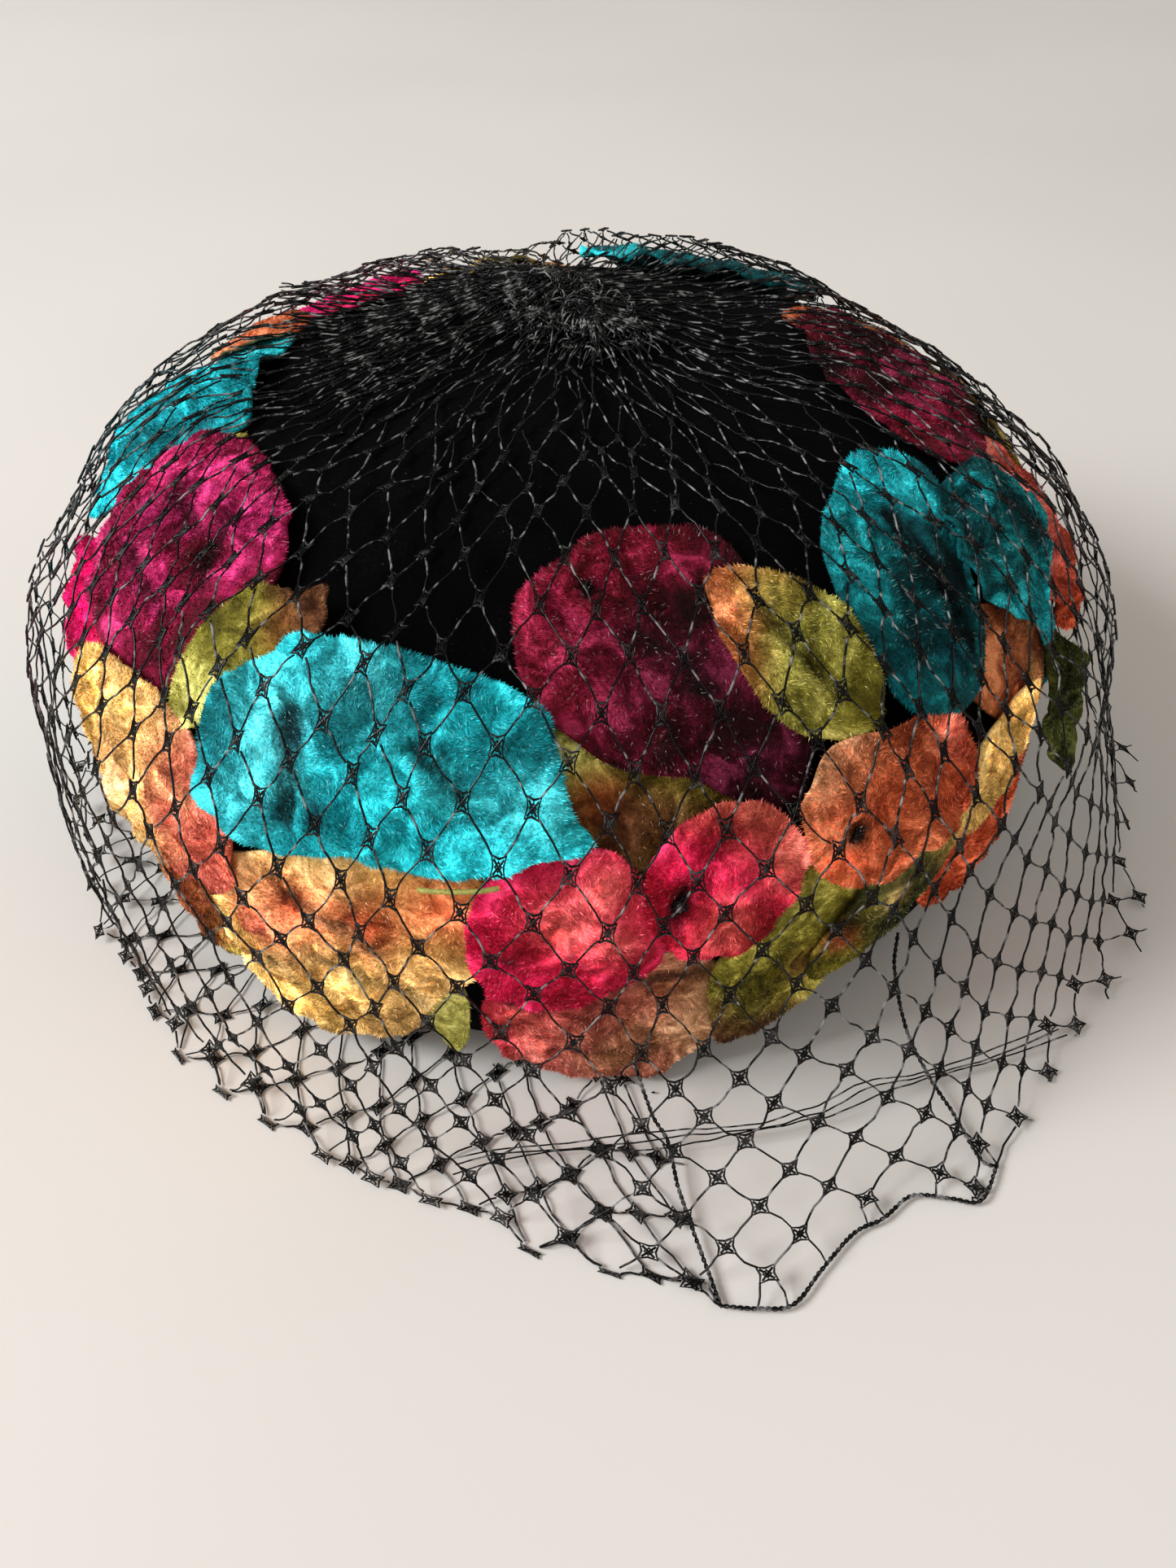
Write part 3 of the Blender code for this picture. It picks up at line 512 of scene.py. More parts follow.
class HatSizes(bpy.types.PropertyGroup):
    """Sizes of the cloth, the pile and the net"""

    cloth: length_choice("Cloth", 0.7, "Thickness of the velvet's ground")
    crumple: length_choice("Crumple", 1.2, "Depth of the crushing in the petals")
    pile: length_choice("Pile", 0.62, "Length of the petals' pile")
    tuft: length_choice("Tuft", 0.17, "Width of one tuft of pile")
    shown_pile: FloatProperty(name="Pile in front", description="Tufts in a square millimetre",
                              default=11.0, min=0.0)
    hidden_pile: FloatProperty(name="Pile behind", description="Tufts in a square millimetre",
                               default=3.5, min=0.0)
    thread: length_choice("Thread", 0.35, "Diameter of the net's thread")
    mesh_side: length_choice("Mesh side", 8.5, "Side of one diamond of the net")
    knot: length_choice("Knot", 1.8, "Half the width of a knot")
    wave: length_choice("Wave", 0.55, "How far the thread strays from a straight line")
    columns: IntProperty(name="Columns", description="Diamonds of the net round the hat",
                         default=68, min=12)


class Surface:
    """The crown's outer surface above its widest ring, carried plumb down to the table."""

    def __init__(self):
        dome = CROWN_PROFILE[:WIDEST_POINT + 1][::-1]
        line = [(dome[0][0], 0.0)]
        line += catmull_rom(dome, LINE_STEPS)
        self.line = np.array(line)
        self.heights = lengths_along(self.line)
        slope = np.gradient(self.line, self.heights, axis=0)
        slope /= np.linalg.norm(slope, axis=1)[:, None]
        slope[0] = slope[1] = (0.0, 1.0)
        self.normals = np.stack((slope[:, 1], -slope[:, 0]), 1)

    def radius(self, height):
        """Radius of the surface at a height."""
        return np.interp(height, self.heights, self.line[:, 0])

    def place(self, azimuth, height, offset=0.0):
        """Places in millimetres at azimuths, heights and offsets outward."""
        normals = [np.interp(height, self.heights, self.normals[:, axis]) for axis in (0, 1)]
        size = np.hypot(*normals)
        radius = self.radius(height) + normals[0] / size * offset
        level = np.interp(height, self.heights, self.line[:, 1]) + normals[1] / size * offset
        angle = np.radians(azimuth)
        return np.stack((radius * np.sin(angle), -radius * np.cos(angle), level), -1)

    def level_over(self, x, y):
        """Level of the dome above a point of the plan."""
        line = self.line[1:][::-1]
        return float(np.interp(math.hypot(x, y), line[:, 0], line[:, 1]))


def lengths_along(line):
    """Length of a line from its start to each of its points."""
    steps = np.linalg.norm(np.diff(line, axis=0), axis=1)
    return np.concatenate(([0.0], np.cumsum(steps)))


def turned_from(azimuth, other=0.0):
    """Degrees from one azimuth to another, from -180 to 180."""
    return (azimuth - other + 180.0) % 360.0 - 180.0


def disc_grid(rings, sectors):
    """Shares from middle to edge and angles of the points of a round grid."""
    shares = np.repeat(np.arange(1, rings + 1) / rings, sectors)
    angles = np.tile(2 * math.pi * np.arange(sectors) / sectors, rings)
    return np.append(0.0, shares), np.append(0.0, angles)


def disc_faces(rings, sectors):
    """Faces of a round grid: a fan about point 0, then rings of quads outward."""
    faces = [(0, 1 + sector, 1 + (sector + 1) % sectors) for sector in range(sectors)]
    for ring in range(rings - 1):
        for sector in range(sectors):
            a = 1 + ring * sectors + sector
            b = 1 + ring * sectors + (sector + 1) % sectors
            faces.append((a, a + sectors, b + sectors, b))
    return faces


def catmull_rom(points, steps):
    """Points of a smooth line through points, with steps between two of them."""
    points = np.asarray(points, float)
    padded = np.vstack((points[:1], points, points[-1:]))
    t = (np.arange(steps) / steps)[:, None]
    spans = []
    for a, b, c, d in zip(padded, padded[1:], padded[2:], padded[3:]):
        spans.append(0.5 * (2 * b + (c - a) * t + (2 * a - 5 * b + 4 * c - d) * t ** 2
                            + (3 * b - a - 3 * c + d) * t ** 3))
    return [tuple(point) for point in np.vstack((*spans, points[-1:]))]


SURFACE = Surface()


def smooth_step(value):
    """Ease values from 0 to 1."""
    t = np.clip(value, 0.0, 1.0)
    return t * t * (3.0 - 2.0 * t)


def rumple(x, y, size, seed, octaves=3):
    """Smooth noise from about -1 to 1 at flat places, in millimetres, with bumps of a size."""
    return np.array([noise.fractal((a / size, b / size, seed), 0.6, 2.0, octaves) for a, b in
                     zip(x, y)])


def puffs(x, y, size, seed):
    """Puffed cells at flat places: how far from a cell's border, and a soft value of each cell."""
    seeds = np.random.default_rng(seed)
    rows = range(-8, 9)
    middles = np.array([((column + 0.5 * (row % 2)) * size, row * size * 0.87)
                        for row in rows for column in rows])
    middles += seeds.uniform(-0.33, 0.33, middles.shape) * size
    tones = seeds.uniform(-1.0, 1.0, len(middles))
    distance = np.hypot(x[:, None] - middles[:, 0], y[:, None] - middles[:, 1])
    nearest = np.sort(distance, axis=1)
    weight = np.exp(-0.5 * ((distance - nearest[:, :1]) / (size * 0.16)) ** 2)
    tone = (weight * tones).sum(1) / weight.sum(1)
    return smooth_step((nearest[:, 1] - nearest[:, 0]) / (size * 0.55)), tone


# Petals


def petal_seed(petal):
    """A number of its own for each petal, for what is random in it."""
    return petal.azimuth * 0.37 + petal.height


def half_width(petal, along):
    """Half the width of a petal's outline at shares of its half length, from -1 to 1."""
    form = FORMS[petal.form]
    inside = np.maximum(1.0 - along * along, 0.0)
    return petal.width / 2 * inside ** (form.point / 2) * (1 - form.taper * along)


def to_surface(petal, x, y):
    """Azimuths and heights of places given along and across a petal."""
    turn = math.radians(petal.turn)
    height = petal.height + x * math.sin(turn) + y * math.cos(turn)
    level = x * math.cos(turn) - y * math.sin(turn)
    return petal.azimuth + np.degrees(level / SURFACE.radius(height)), height


def to_petal(petal, azimuth, height):
    """Distances along and across a petal of places on the surface."""
    turn = math.radians(petal.turn)
    level = np.radians(turned_from(azimuth, petal.azimuth)) * SURFACE.radius(height)
    rise = height - petal.height
    return (level * math.cos(turn) + rise * math.sin(turn),
            rise * math.cos(turn) - level * math.sin(turn))


def distance_outside(petal, azimuth, height):
    """Distances of places from a petal's outline toward its middle, close to 0 inside it."""
    x, y = to_petal(petal, azimuth, height)
    low = np.zeros_like(x)
    high = np.ones_like(x)
    for _ in range(12):
        share = (low + high) / 2
        along = 2 * x * share / petal.length
        inside = (np.abs(along) <= 1) & (np.abs(y * share) <= half_width(petal, along))
        low = np.where(inside, share, low)
        high = np.where(inside, high, share)
    return np.hypot(x, y) * (1.0 - low)


def free_room(petal, azimuth, height):
    """How free places of a petal are of the petals above it, from 0 to 1."""
    room = np.ones_like(azimuth)
    for other in PETALS:
        near = abs(turned_from(other.azimuth, petal.azimuth)) < 75
        if other.layer > petal.layer and near:
            distance = distance_outside(other, azimuth, height)
            room = np.minimum(room, smooth_step((distance - COVER_MARGIN) / COVER_FADE))
    return room


def fold_depth(petal, azimuth, height):
    """Depth of the creases and dents of a petal at places."""
    depth = np.zeros_like(azimuth)
    scale = np.radians(1.0) * SURFACE.radius(height)
    for azimuth_a, height_a, azimuth_b, height_b, width, deepest in FOLDS.get(petal.name, ()):
        start = np.stack(((azimuth - azimuth_a) * scale, height - height_a), -1)
        run = np.stack(((azimuth_b - azimuth_a) * scale,
                        np.full_like(height, height_b - height_a)), -1)
        size = np.maximum(np.sum(run * run, -1), 1e-6)
        t = np.clip(np.sum(start * run, -1) / size, 0, 1)
        distance = np.linalg.norm(start - run * t[:, None], axis=-1)
        depth += deepest * np.exp(-(distance / width) ** 2)
    return depth


def petal_grid(petal):
    """Places along and across a petal, their shares from middle to edge, and the faces."""
    grid = SHOWN_GRID if petal.shown else HIDDEN_GRID
    seed = petal.azimuth + petal.height
    share, angle = disc_grid(*grid)
    along = np.cos(angle)
    lobes = np.ones_like(angle)
    for count, shift, amount in EDGE_LOBES + (() if petal.name in WAVES else PLAIN_LOBES):
        lobes += amount * np.sin(count * angle + shift * seed)
    mean, *waves = WAVES.get(petal.name, (0.0,))
    lobes += mean * share ** 2
    for index, amount in enumerate(waves):
        wave = (index // 2 + 1) * angle
        lobes += amount * share ** 2 * (np.sin(wave) if index % 2 else np.cos(wave))
    for middle, spread, amount in CORNERS.get(petal.name, ()):
        away = turned_from(np.degrees(angle), middle)
        lobes += amount * share ** 2 * np.exp(-(away / spread) ** 2)
    x = petal.length / 2 * along * share * lobes
    y = np.copysign(half_width(petal, along), np.sin(angle)) * share * lobes
    return x, y, share, disc_faces(*grid)


def petal_offset(petal, x, y, share, azimuth, height, crumple):
    """Offset of a petal's face from the crown."""
    room = free_room(petal, azimuth, height)
    seed = petal_seed(petal)
    edge = share ** 6
    across = y / petal.width
    crease = CREASE_SHARE * np.exp(-(across / CREASE_WIDTH) ** 2)
    swell = petal.puff * (1 - share * share) * (1 - crease)
    size, rise = EDGE_BUMPS
    swell += rise * edge * (0.6 + rumple(x, y, size, seed + 9))
    puffed, _ = puffs(x, y, PUFF_SIZE, int(abs(seed) * 10))
    crush = crumple * ((puffed - 0.6) + COARSE_BUMPS[1] * rumple(x, y, COARSE_BUMPS[0], seed)
                       + FINE_BUMPS[1] * rumple(x, y, FINE_BUMPS[0], seed + 4))
    if petal.form == "leaf":
        slant = np.abs(y) * RIB_SLANT + x
        ribs = RIB_RISE * np.sin(slant * 2 * math.pi / RIB_SPACING)
        ribs *= np.clip(np.abs(across) * 8, 0, 1) * (1 - edge)
        crush = 0.55 * crush + ribs - VEIN_DEPTH * np.exp(-(y / VEIN_WIDTH) ** 2)
    tip = petal.lift * np.maximum(2 * x / petal.length, 0.0) ** 2
    seat = LOWEST_SEAT + petal.layer * LAYER_RISE
    shown = room * (swell + tip + crush - fold_depth(petal, azimuth, height))
    left, right = STAND_OFF.get(petal.name, (0.0, 0.0))
    stand = left + (right - left) * smooth_step(0.5 + across)
    return seat + room * stand + np.maximum(shown, -DEEPEST), room


def dye_and_lighting_colors(petal, colors, x, y, share, azimuth, height):
    """Colour of a petal at its places, in linear light: sprayed dye, painted highlight and shade from its
    spots, and painted shade in its creases and dents.
    """
    middle, start, end = (np.array(getattr(colors, name)) for name in petal.colors.split())
    along = 2 * x / petal.length + 0.25 * rumple(x, y, 12.0, petal.azimuth)
    to_start = smooth_step((-along - COLOR_START) / COLOR_FADE)[:, None]
    to_end = smooth_step((along - COLOR_START) / COLOR_FADE)[:, None]
    color = middle + (start - middle) * to_start + (end - middle) * to_end
    scale = np.radians(1.0) * SURFACE.radius(height)
    for spot, level, reach, name, strength in DYE_AND_LIGHTING_SPOTS.get(petal.name, ()):
        distance = np.hypot((azimuth - spot) * scale, height - level)
        mix = strength * np.exp(-(distance / reach) ** 2)[:, None]
        color = color + (np.array(getattr(colors, name)) - color) * mix
    # Painted shade: the creases and dents darken the colour by their depth
    shade = 1 - CREASE_PAINTED_SHADE * np.clip(fold_depth(petal, azimuth, height) / FOLD_FULL, 0, 1)
    return color * shade[:, None]


def comb_directions(petal, x, y, share, azimuth, height):
    """The way the pile leans: swirling in the middle and outward at the edge."""
    step = 0.2
    here = SURFACE.place(azimuth, height)
    forward = SURFACE.place(*to_surface(petal, x + step, y)) - here
    sideways = SURFACE.place(*to_surface(petal, x, y + step)) - here
    swirl = math.pi * SWIRL_REACH * rumple(x, y, SWIRL_SIZE, petal.height)
    swirl += math.radians(petal.turn)
    lean = np.cos(swirl)[:, None] * forward + np.sin(swirl)[:, None] * sideways
    size = np.maximum(np.hypot(x, y), 0.01)
    outward = (x / size)[:, None] * forward + (y / size)[:, None] * sideways
    edge = smooth_step((share - 0.8) / 0.2)[:, None]
    lean = lean * (1 - edge) + outward * edge
    return lean / np.maximum(np.linalg.norm(lean, axis=1), 1e-6)[:, None]


def flat_area(x, y, faces):
    """Area in square metres of flat faces given in millimetres."""
    total = 0.0
    for face in faces:
        i = np.array(face)
        j = np.roll(i, -1)
        total += abs(float(np.sum(x[i] * y[j] - x[j] * y[i]))) / 2
    return total * MM * MM


def new_mesh(name, points, edges, faces):
    """A mesh whose points are given in millimetres."""
    mesh = bpy.data.meshes.new(name)
    mesh.from_pydata((np.array(points) * MM).tolist(), edges, faces)
    mesh.update()
    return mesh


def store(mesh, name, kind, values):
    """Store values on a mesh's points."""
    field = mesh.attributes.new(name, kind, "POINT")
    values = np.asarray(values, np.float32)
    key = "color" if kind == "FLOAT_COLOR" else "vector" if kind == "FLOAT_VECTOR" else "value"
    field.data.foreach_set(key, values.ravel())


def petal_mesh(petal, colors, sizes):
    """A petal's face as an open mesh, and the flat width, length and area that it is cut to."""
    x, y, share, faces = petal_grid(petal)
    azimuth, height = to_surface(petal, x, y)
    offset, room = petal_offset(petal, x, y, share, azimuth, height, sizes.crumple / MM)
    points = SURFACE.place(azimuth, height, offset)
    points[:, 2] = np.maximum(points[:, 2], sizes.cloth / MM + 0.2)
    mesh = new_mesh(petal.name, points, [], faces)
    dye_and_lighting = dye_and_lighting_colors(petal, colors, x, y, share, azimuth, height)
    store(mesh, "dye_and_lighting", "FLOAT_COLOR", np.hstack((dye_and_lighting, np.ones((len(dye_and_lighting), 1)))))
    store(mesh, "cloth", "FLOAT_VECTOR", np.stack((x, y, share * 0 + petal.height), 1))
    store(mesh, "comb", "FLOAT_VECTOR", comb_directions(petal, x, y, share, azimuth, height))
    fullness = (0.25 + 0.75 * (room > 0.02)) * (1 + 1.2 * smooth_step((share - 0.9) / 0.1))
    store(mesh, "fullness", "FLOAT", fullness)
    store(mesh, "rim", "FLOAT", share)
    seed = int(abs(petal_seed(petal)) * 10)
    store(mesh, "nap_shading", "FLOAT", puffs(x, y, PUFF_SIZE, seed)[1])
    return mesh, np.ptp(y), np.ptp(x), flat_area(x, y, faces)


# Nodes


def set_inputs(node, inputs):
    """Link each input of a node to a socket, or set it to a value."""
    for key, value in inputs.items():
        if isinstance(value, bpy.types.NodeSocket):
            node.id_data.links.new(value, node.inputs[key])
        else:
            node.inputs[key].default_value = value


def add_node(tree, kind, inputs=(), out=0, **settings):
    """Add a node with its settings and inputs to a tree, and return one of its outputs."""
    node = tree.nodes.new(kind)
    for key, value in settings.items():
        setattr(node, key, value)
    set_inputs(node, dict(inputs))
    return node.outputs[out]


def maths(tree, operation, *values):
    """The result of a sum on numbers."""
    return add_node(tree, "ShaderNodeMath", dict(enumerate(values)), operation=operation)


def vector_maths(tree, operation, first, second):
    """The result of a sum on vectors. A vector is scaled by a number."""
    place = "Scale" if operation == "SCALE" else 1
    return add_node(tree, "ShaderNodeVectorMath", {0: first, place: second}, operation=operation)


def mapped(tree, value, before=(0.0, 1.0), after=(0.0, 1.0)):
    """A value carried from one range to another and held inside it."""
    return add_node(tree, "ShaderNodeMapRange", dict(enumerate((value, *before, *after))))


def random_value(tree, low, high, seed):
    """A random number, or a random vector, between two."""
    kind = "FunctionNodeRandomValue"
    if isinstance(low, tuple):
        return add_node(tree, kind, {0: low, 1: high, "Seed": seed}, data_type="FLOAT_VECTOR")
    return add_node(tree, kind, {2: low, 3: high, "Seed": seed}, 1, data_type="FLOAT")


def attribute(tree, name, out):
    """A value that a mesh stores, for its material."""
    return add_node(tree, "ShaderNodeAttribute", {}, out, attribute_name=name)


def clouds(tree, place, size, detail, roughness=0.5, distortion=0.0):
    """Noise with patches of a size."""
    return add_node(tree, "ShaderNodeTexNoise", {
        "Vector": place, "Scale": 1 / size, "Detail": detail, "Roughness": roughness,
        "Distortion": distortion})


def object_place(tree):
    """Places on an object, in metres."""
    return add_node(tree, "ShaderNodeTexCoord", {}, "Object")


def ramp(tree, source, stops):
    """A colour ramp with stops: places and grey values or colours."""
    color = add_node(tree, "ShaderNodeValToRGB", {0: source})
    elements = color.node.color_ramp.elements
    elements.remove(elements[-1])
    for index, (place, value) in enumerate(stops):
        stop = elements[0] if index == 0 else elements.new(place)
        stop.position = place
        stop.color = (*value, 1.0) if hasattr(value, "__len__") else (value, value, value, 1.0)
    return color


def mixed(tree, share, color, other, blend="MIX"):
    """Two colours mixed."""
    return add_node(tree, "ShaderNodeMix", {0: share, 6: color, 7: other}, 2, data_type="RGBA",
                    blend_type=blend)


def bumped(tree, height, strength, distance, **normal):
    """The normal of a bumpy surface."""
    return add_node(tree, "ShaderNodeBump", {"Height": height, "Strength": strength,
                                             "Distance": distance, **normal})


def new_material(name):
    """A material, its tree and its shader."""
    material = bpy.data.materials.new(name)
    material.use_nodes = True
    tree = material.node_tree
    return material, tree, tree.nodes["Principled BSDF"]


def velvet_material(slot, tint):
    """Crushed rayon velvet, sprayed with dye: soft pile in patches of a few millimetres, with painted
    highlight where it leans to the eye, painted shade where it leans away, and painted glints on single
    hairs."""
    material, tree, shader = new_material(slot + "_crushed_rayon_velvet")
    cloth = attribute(tree, "cloth", "Vector")
    glint = attribute(tree, "glint", "Fac")
    # Patches of crushed pile are about 5 mm across, and tufts about 0.4 mm
    patches = clouds(tree, cloth, 5.0, 3.0, 0.6, 1.2)
    tufts = clouds(tree, cloth, 0.42, 2.0, 0.7, 2.0)
    lean_shading = maths(tree, "MULTIPLY_ADD", attribute(tree, "nap_shading", "Fac"), 0.16, patches)
    # Painted shade and highlight: where the pile leans away the dye is made deeper, not greyer, and where
    # it leans to the eye paler
    depth = mapped(tree, lean_shading, (0.28, 0.70), (1.45, 0.78))
    color = add_node(tree, "ShaderNodeGamma", {0: attribute(tree, "dye_and_lighting", "Color"), 1: depth})
    # Painted highlight and shade from the pile's lean; each tuft is lighter or darker by chance, and a few
    # carry painted glints; the cloth under them is even
    for source, stops in (
            (lean_shading, ((0.28, 0.44), (0.42, 0.80), (0.55, 1.15), (0.70, 2.1))),
            (tufts, ((0.32, 0.6), (0.52, 1.0), (0.70, 1.6))),
            (glint, ((0.0, 1.0), (0.01, 0.55), (0.5, 0.9), (0.85, 1.4), (1.0, 3.0)))):
        color = mixed(tree, 1.0, color, ramp(tree, source, stops), "MULTIPLY")
    # Painted glints: the brightest tufts are mixed toward the pale sheen colour
    shine = ramp(tree, glint, ((0.0, 0.0), (0.90, 0.0), (1.0, 0.75)))
    # Small creases of the crushed cloth, 2.4 mm apart, under the grain of the tufts
    creases = clouds(tree, cloth, 2.4, 2.0, distortion=1.5)
    creased = bumped(tree, creases, 0.6, 1.0 * MM)
    set_inputs(shader, {
        "Base Color": mixed(tree, shine, color, (*tint, 1.0)),
        "Normal": bumped(tree, tufts, 0.5, 0.3 * MM, Normal=creased),
        "Roughness": mapped(tree, patches, after=(0.55, 0.85)), "IOR": 1.47,
        "Specular IOR Level": 0.12, "Sheen Weight": 0.07, "Sheen Roughness": 0.38,
        "Sheen Tint": (*tint, 1.0)})
    return material


def crown_material(color):
    """Black cotton velvet, steamed over a block: a dense short pile that swallows light, with a
    faint bloom where it turns away and a few threads of lint."""
    material, tree, shader = new_material("black_cotton_velvet")
    place = object_place(tree)
    # Pile tufts of 0.5 mm, and clouds of brushed pile of 14 mm
    tufts = clouds(tree, place, 0.5 * MM, 2.0)
    shade = maths(tree, "MULTIPLY", tufts, clouds(tree, place, 14 * MM, 3.0))
    low = tuple(0.45 * value for value in color)
    high = tuple(min(2.2 * value + 0.0008, 1.0) for value in color)
    pile = ramp(tree, shade, ((0.10, low), (0.28, tuple(color)), (0.45, high)))
    lint = ramp(tree, clouds(tree, place, 0.8 * MM, 1.0), ((0.0, 0.0), (0.765, 0.0), (0.80, 0.35)))
    set_inputs(shader, {
        "Base Color": mixed(tree, lint, pile, (0.10, 0.11, 0.12, 1.0)),
        "Normal": bumped(tree, tufts, 0.5, 0.3 * MM), "Roughness": 0.95,
        "Specular IOR Level": 0.04, "Sheen Weight": 0.01, "Sheen Roughness": 0.5,
        "Sheen Tint": (0.35, 0.38, 0.45, 1.0)})
    return material


def thread_material(name, color, roughness, painted_glint):
    """Twisted thread: short slanted highlights along it, painted into its base colour where the noise of
    its plies is high.
    """
    material, tree, shader = new_material(name)
    # Painted glints run along the thread for about 2 mm
    plies = clouds(tree, object_place(tree), 2.0 * MM, 2.0)
    high = tuple(min(value * 1.5 + painted_glint, 1.0) for value in color)
    set_inputs(shader, {
        "Base Color": ramp(tree, plies, ((0.40, tuple(color)), (0.52, tuple(color)), (0.68, high))),
        "Roughness": mapped(tree, plies, after=(roughness * 0.8, roughness * 1.2)),
        "Normal": bumped(tree, plies, 0.4, 0.1 * MM), "IOR": 1.53, "Specular IOR Level": 0.22})
    return material


def stem_material(color):
    """Cotton-wrapped wire: dull, with a fine winding round it."""
    material, tree, shader = new_material("cotton_wrapped_stem")
    # Windings of 0.4 mm
    winding = clouds(tree, object_place(tree), 0.4 * MM, 1.0)
    low = tuple(0.6 * value for value in color)
    set_inputs(shader, {"Base Color": ramp(tree, winding, ((0.35, low), (0.65, tuple(color)))),
                        "Roughness": 0.7})
    return material


def floor_material():
    """White painted board: matt, faintly clouded over 0.25 m, so the light alone shades it."""
    material, tree, shader = new_material("white_painted_board")
    shades = ((0.3, linear("#dcd8d3")), (0.7, linear("#e2deda")))
    set_inputs(shader, {"Base Color": ramp(tree, clouds(tree, object_place(tree), 0.25, 2.0), shades),
                        "Roughness": 0.6, "Specular IOR Level": 0.25})
    return material


def new_geometry_tree(name, numbers):
    """A geometry node tree and its inputs: a geometry, named numbers and a material."""
    tree = bpy.data.node_groups.new(name, "GeometryNodeTree")
    tree.interface.new_socket("Geometry", in_out="INPUT", socket_type="NodeSocketGeometry")
    for label, default in numbers.items():
        kind = "NodeSocketInt" if isinstance(default, int) else "NodeSocketFloat"
        tree.interface.new_socket(label, in_out="INPUT", socket_type=kind).default_value = default
    tree.interface.new_socket("Material", in_out="INPUT", socket_type="NodeSocketMaterial")
    tree.interface.new_socket("Geometry", in_out="OUTPUT", socket_type="NodeSocketGeometry")
    return tree, tree.nodes.new("NodeGroupInput").outputs


def end_tree(tree, source, geometry):
    """Realize the instances, give them their material and end the tree."""
    real = add_node(tree, "GeometryNodeRealizeInstances", {0: geometry})
    painted = add_node(tree, "GeometryNodeSetMaterial", {0: real, "Material": source["Material"]})
    end = tree.nodes.new("NodeGroupOutput")
    end.is_active_output = True
    set_inputs(end, {0: painted})
    return tree


def stored(tree, name, kind="FLOAT_VECTOR"):
    """A value that a mesh stores on its points."""
    return add_node(tree, "GeometryNodeInputNamedAttribute", {"Name": name}, data_type=kind)


def scattered(tree, source, density):
    """Random points on a mesh."""
    return add_node(tree, "GeometryNodeDistributePointsOnFaces", {
        "Mesh": source["Geometry"], "Density": density, "Seed": source["Seed"]})


def combined(tree, **parts):
    """A vector from its parts."""
    return add_node(tree, "ShaderNodeCombineXYZ", parts)


def aligned(tree, axis, vector):
    """A rotation that turns an axis to a vector."""
    return add_node(tree, "FunctionNodeAlignRotationToVector", {"Vector": vector}, axis=axis)


def faced(tree, axis, vector, rotation):
    """A rotation turned about its own Z until an axis faces a vector."""
    return add_node(tree, "FunctionNodeAlignRotationToVector",
                    {"Rotation": rotation, "Vector": vector}, axis=axis, pivot_axis="Z")


def instanced(tree, points, shape, rotation, scale):
    """A shape set on every point."""
    return add_node(tree, "GeometryNodeInstanceOnPoints", {
        "Points": points, "Instance": shape, "Rotation": rotation, "Scale": scale})


def tube(tree, curve, radius, sides):
    """Tubes along a curve, with closed ends."""
    section = add_node(tree, "GeometryNodeCurvePrimitiveCircle",
                       {"Resolution": sides, "Radius": radius})
    return add_node(tree, "GeometryNodeCurveToMesh", {0: curve, 1: section, "Fill Caps": True})


def pile_tree():
    """Tufts of pile, standing on a cloth and leaning the way that it is combed."""
    tree, source = new_geometry_tree("velvet_pile", {
        "Tufts per Area": 5e6, "Length": 0.001, "Width": 0.0002, "Seed": 0})
    points = scattered(tree, source, maths(tree, "MULTIPLY", source["Tufts per Area"],
                                           stored(tree, "fullness", "FLOAT")))
    normal = points.node.outputs["Normal"]
    stray = random_value(tree, (-0.45, -0.45, -0.45), (0.45, 0.45, 0.45), source["Seed"])
    leaning = vector_maths(tree, "ADD", stored(tree, "comb"), stray)
    # The pile stands up inside, and lies almost flat at the edge
    rise = mapped(tree, stored(tree, "rim", "FLOAT"), (0.85, 1.0), (0.55, 0.12))
    aim = vector_maths(tree, "ADD", leaning, vector_maths(tree, "SCALE", normal, rise))
    twist = combined(tree, Z=random_value(tree, -0.9, 0.9, source["Seed"]))
    turn = add_node(tree, "FunctionNodeRotateRotation",
                    {0: faced(tree, "Y", normal, aligned(tree, "Z", aim)), 1: twist},
                    rotation_space="LOCAL")
    # One tuft is a narrow triangle: the circle's corners at X 1 and -0.5 are its tip and foot
    triangle = add_node(tree, "GeometryNodeMeshCircle", {"Vertices": 3, "Radius": 1.0},
                        fill_type="NGON")
    corner = add_node(tree, "ShaderNodeSeparateXYZ", {0: add_node(tree, "GeometryNodeInputPosition")})
    upper = mapped(tree, corner, (-0.5, 1.0))
    narrow = maths(tree, "DIVIDE", corner.node.outputs[1], math.sqrt(3))
    stood = combined(tree, X=maths(tree, "MULTIPLY", narrow, source["Width"]),
                     Z=maths(tree, "MULTIPLY", upper, source["Length"]))
    tuft = add_node(tree, "GeometryNodeSetPosition", {"Geometry": triangle, "Position": stood})
    tufts = instanced(tree, points, tuft, turn, random_value(tree, 0.6, 1.35, 7))
    # A random value per tuft, which the material turns into a random tone and, at its top, painted glints
    glinting = add_node(tree, "GeometryNodeStoreNamedAttribute", {
        "Geometry": tufts, "Name": "glint", "Value": random_value(tree, 0.0, 1.0, 11)},
        data_type="FLOAT", domain="INSTANCE")
    return end_tree(tree, source, glinting)


